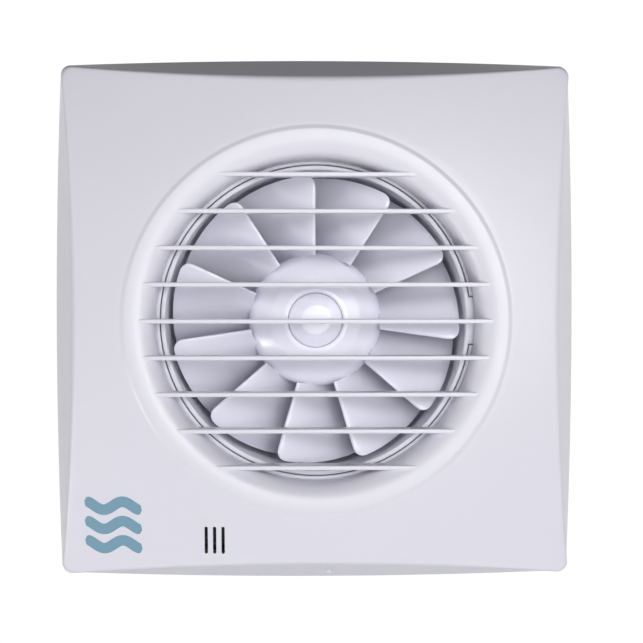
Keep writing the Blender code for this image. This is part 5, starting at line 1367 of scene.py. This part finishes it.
class FAN_OT_studio(bpy.types.Operator):
    """Pale floor, soft lights and the camera"""
    bl_idname = "fan.studio"
    bl_label = "Studio"

    def execute(self, context):
        s = context.scene.fan_studio
        underside = s.floor_z - 10 * MM
        floor = lathe("studio_floor", [(0.0, s.floor_z, 0.0), (s.floor_r, s.floor_z, 0.0),
                                       (s.floor_r, underside, 0.0), (0.0, underside, 0.0)], 96)
        floor.materials.append(finish("paper"))
        ground = bpy.data.objects.new("studio_floor", floor)
        context.scene.collection.objects.link(ground)
        self.add_sky(context.scene)
        self.add_softbox("softbox_low_left", (-0.62, -0.42, -0.33), (0.0, 0.0, 0.0), 0.12, 1.1)
        self.add_softbox("softbox_right", (0.45, -0.95, 0.1), (0.0, 0.0, 0.0), 0.5, 1.5)
        self.add_softbox("softbox_front", (0.22, -1.2, 0.12), (0.0, 0.0, 0.0), 0.5, 5.4)
        rear = self.add_softbox("softbox_rear", (0.3, 1.1, 0.3), (0.0, 0.1, -0.2), 0.5, 5.0)
        rear.visible_glossy = False    # its glancing reflection would bleach the cover's side walls
        self.add_softbox("softbox_floor", (0.0, 0.1, -0.13), (0.0, 0.1, s.floor_z), 1.2, 1.5)
        camera = bpy.data.cameras.new("camera")
        camera.sensor_width = 36.0
        camera.lens = camera.sensor_width * s.distance / s.view_width
        holder = bpy.data.objects.new("camera", camera)
        aim = Vector((s.aim_x, 0.0, s.aim_z))
        away = Vector((math.sin(s.azimuth) * math.cos(s.elevation),
                       -math.cos(s.azimuth) * math.cos(s.elevation), math.sin(s.elevation)))
        holder.location = aim + away * s.distance
        holder.rotation_euler = (-away).to_track_quat("-Z", "Y").to_euler()
        context.scene.collection.objects.link(holder)
        context.scene.camera = holder
        context.scene.view_settings.view_transform = "Standard"
        return {"FINISHED"}

    @staticmethod
    def add_sky(scene):
        """Sky that is white at the horizon and dim overhead, as in a studio with side lights only."""
        world = bpy.data.worlds.new("studio_sky")
        world.use_nodes = True
        tree = world.node_tree
        tree.nodes.clear()
        direction = add_node(tree, "TexCoord").outputs["Generated"]
        axes = add_node(tree, "SeparateXYZ", {"Vector": direction})
        height = add_node(tree, "MapRange", {"Value": axes.outputs["Z"], "From Min": 0.16, "From Max": 0.5,
                                             "To Min": 1.0, "To Max": 0.0})
        sides = add_node(tree, "MapRange", {"Value": axes.outputs["Y"], "From Min": 0.3, "From Max": 0.9,
                                            "To Min": 0.66, "To Max": 1.02})
        strength = add_node(tree, "Math", {0: height.outputs["Result"], 1: sides.outputs["Result"]},
                            operation="MULTIPLY")
        back = add_node(tree, "Background", {"Color": (1.0, 1.0, 1.0, 1.0),
                                             "Strength": strength.outputs["Value"]})
        add_node(tree, "OutputWorld", {"Surface": back.outputs["Background"]})
        scene.world = world

    @staticmethod
    def add_softbox(name, place, target, size, power):
        """A square light turned to its target, with its side in metres and its power in watts."""
        data = bpy.data.lights.new(name, "AREA")
        data.shape = "SQUARE"
        data.size = size
        data.energy = power
        light = bpy.data.objects.new(name, data)
        light.visible_camera = False
        light.location = place
        light.rotation_euler = (Vector(target) - Vector(place)).to_track_quat("-Z", "Y").to_euler()
        bpy.context.scene.collection.objects.link(light)
        return light


PIECE_OPERATORS = (FAN_OT_fascia, FAN_OT_louvre, FAN_OT_sign, FAN_OT_lens, FAN_OT_impeller, FAN_OT_housing,
                   FAN_OT_carrier, FAN_OT_motor, FAN_OT_shutter, FAN_OT_board, FAN_OT_cable_entry,
                   FAN_OT_inner_finishes, FAN_OT_studio)


class FAN_PT_panel(bpy.types.Panel):
    """Lists the fan's pieces in the sidebar"""
    bl_idname = "FAN_PT_panel"
    bl_label = "Extractor fan"
    bl_space_type = "VIEW_3D"
    bl_region_type = "UI"
    bl_category = "Fan"

    def draw(self, context):
        for operator in PIECE_OPERATORS:
            self.layout.operator(operator.bl_idname)


CLASSES = (*[group for _, group in SETTINGS], *PIECE_OPERATORS, FAN_PT_panel)


def register():
    for each in CLASSES:
        bpy.utils.register_class(each)
    for name, group in SETTINGS:
        setattr(bpy.types.Scene, name, PointerProperty(type=group))


def unregister():
    for name, _ in SETTINGS:
        delattr(bpy.types.Scene, name)
    for each in reversed(CLASSES):
        bpy.utils.unregister_class(each)


def main():
    register()
    for operator in PIECE_OPERATORS:
        group, name = operator.bl_idname.split(".")
        getattr(getattr(bpy.ops, group), name)()


if __name__ == "__main__":
    main()
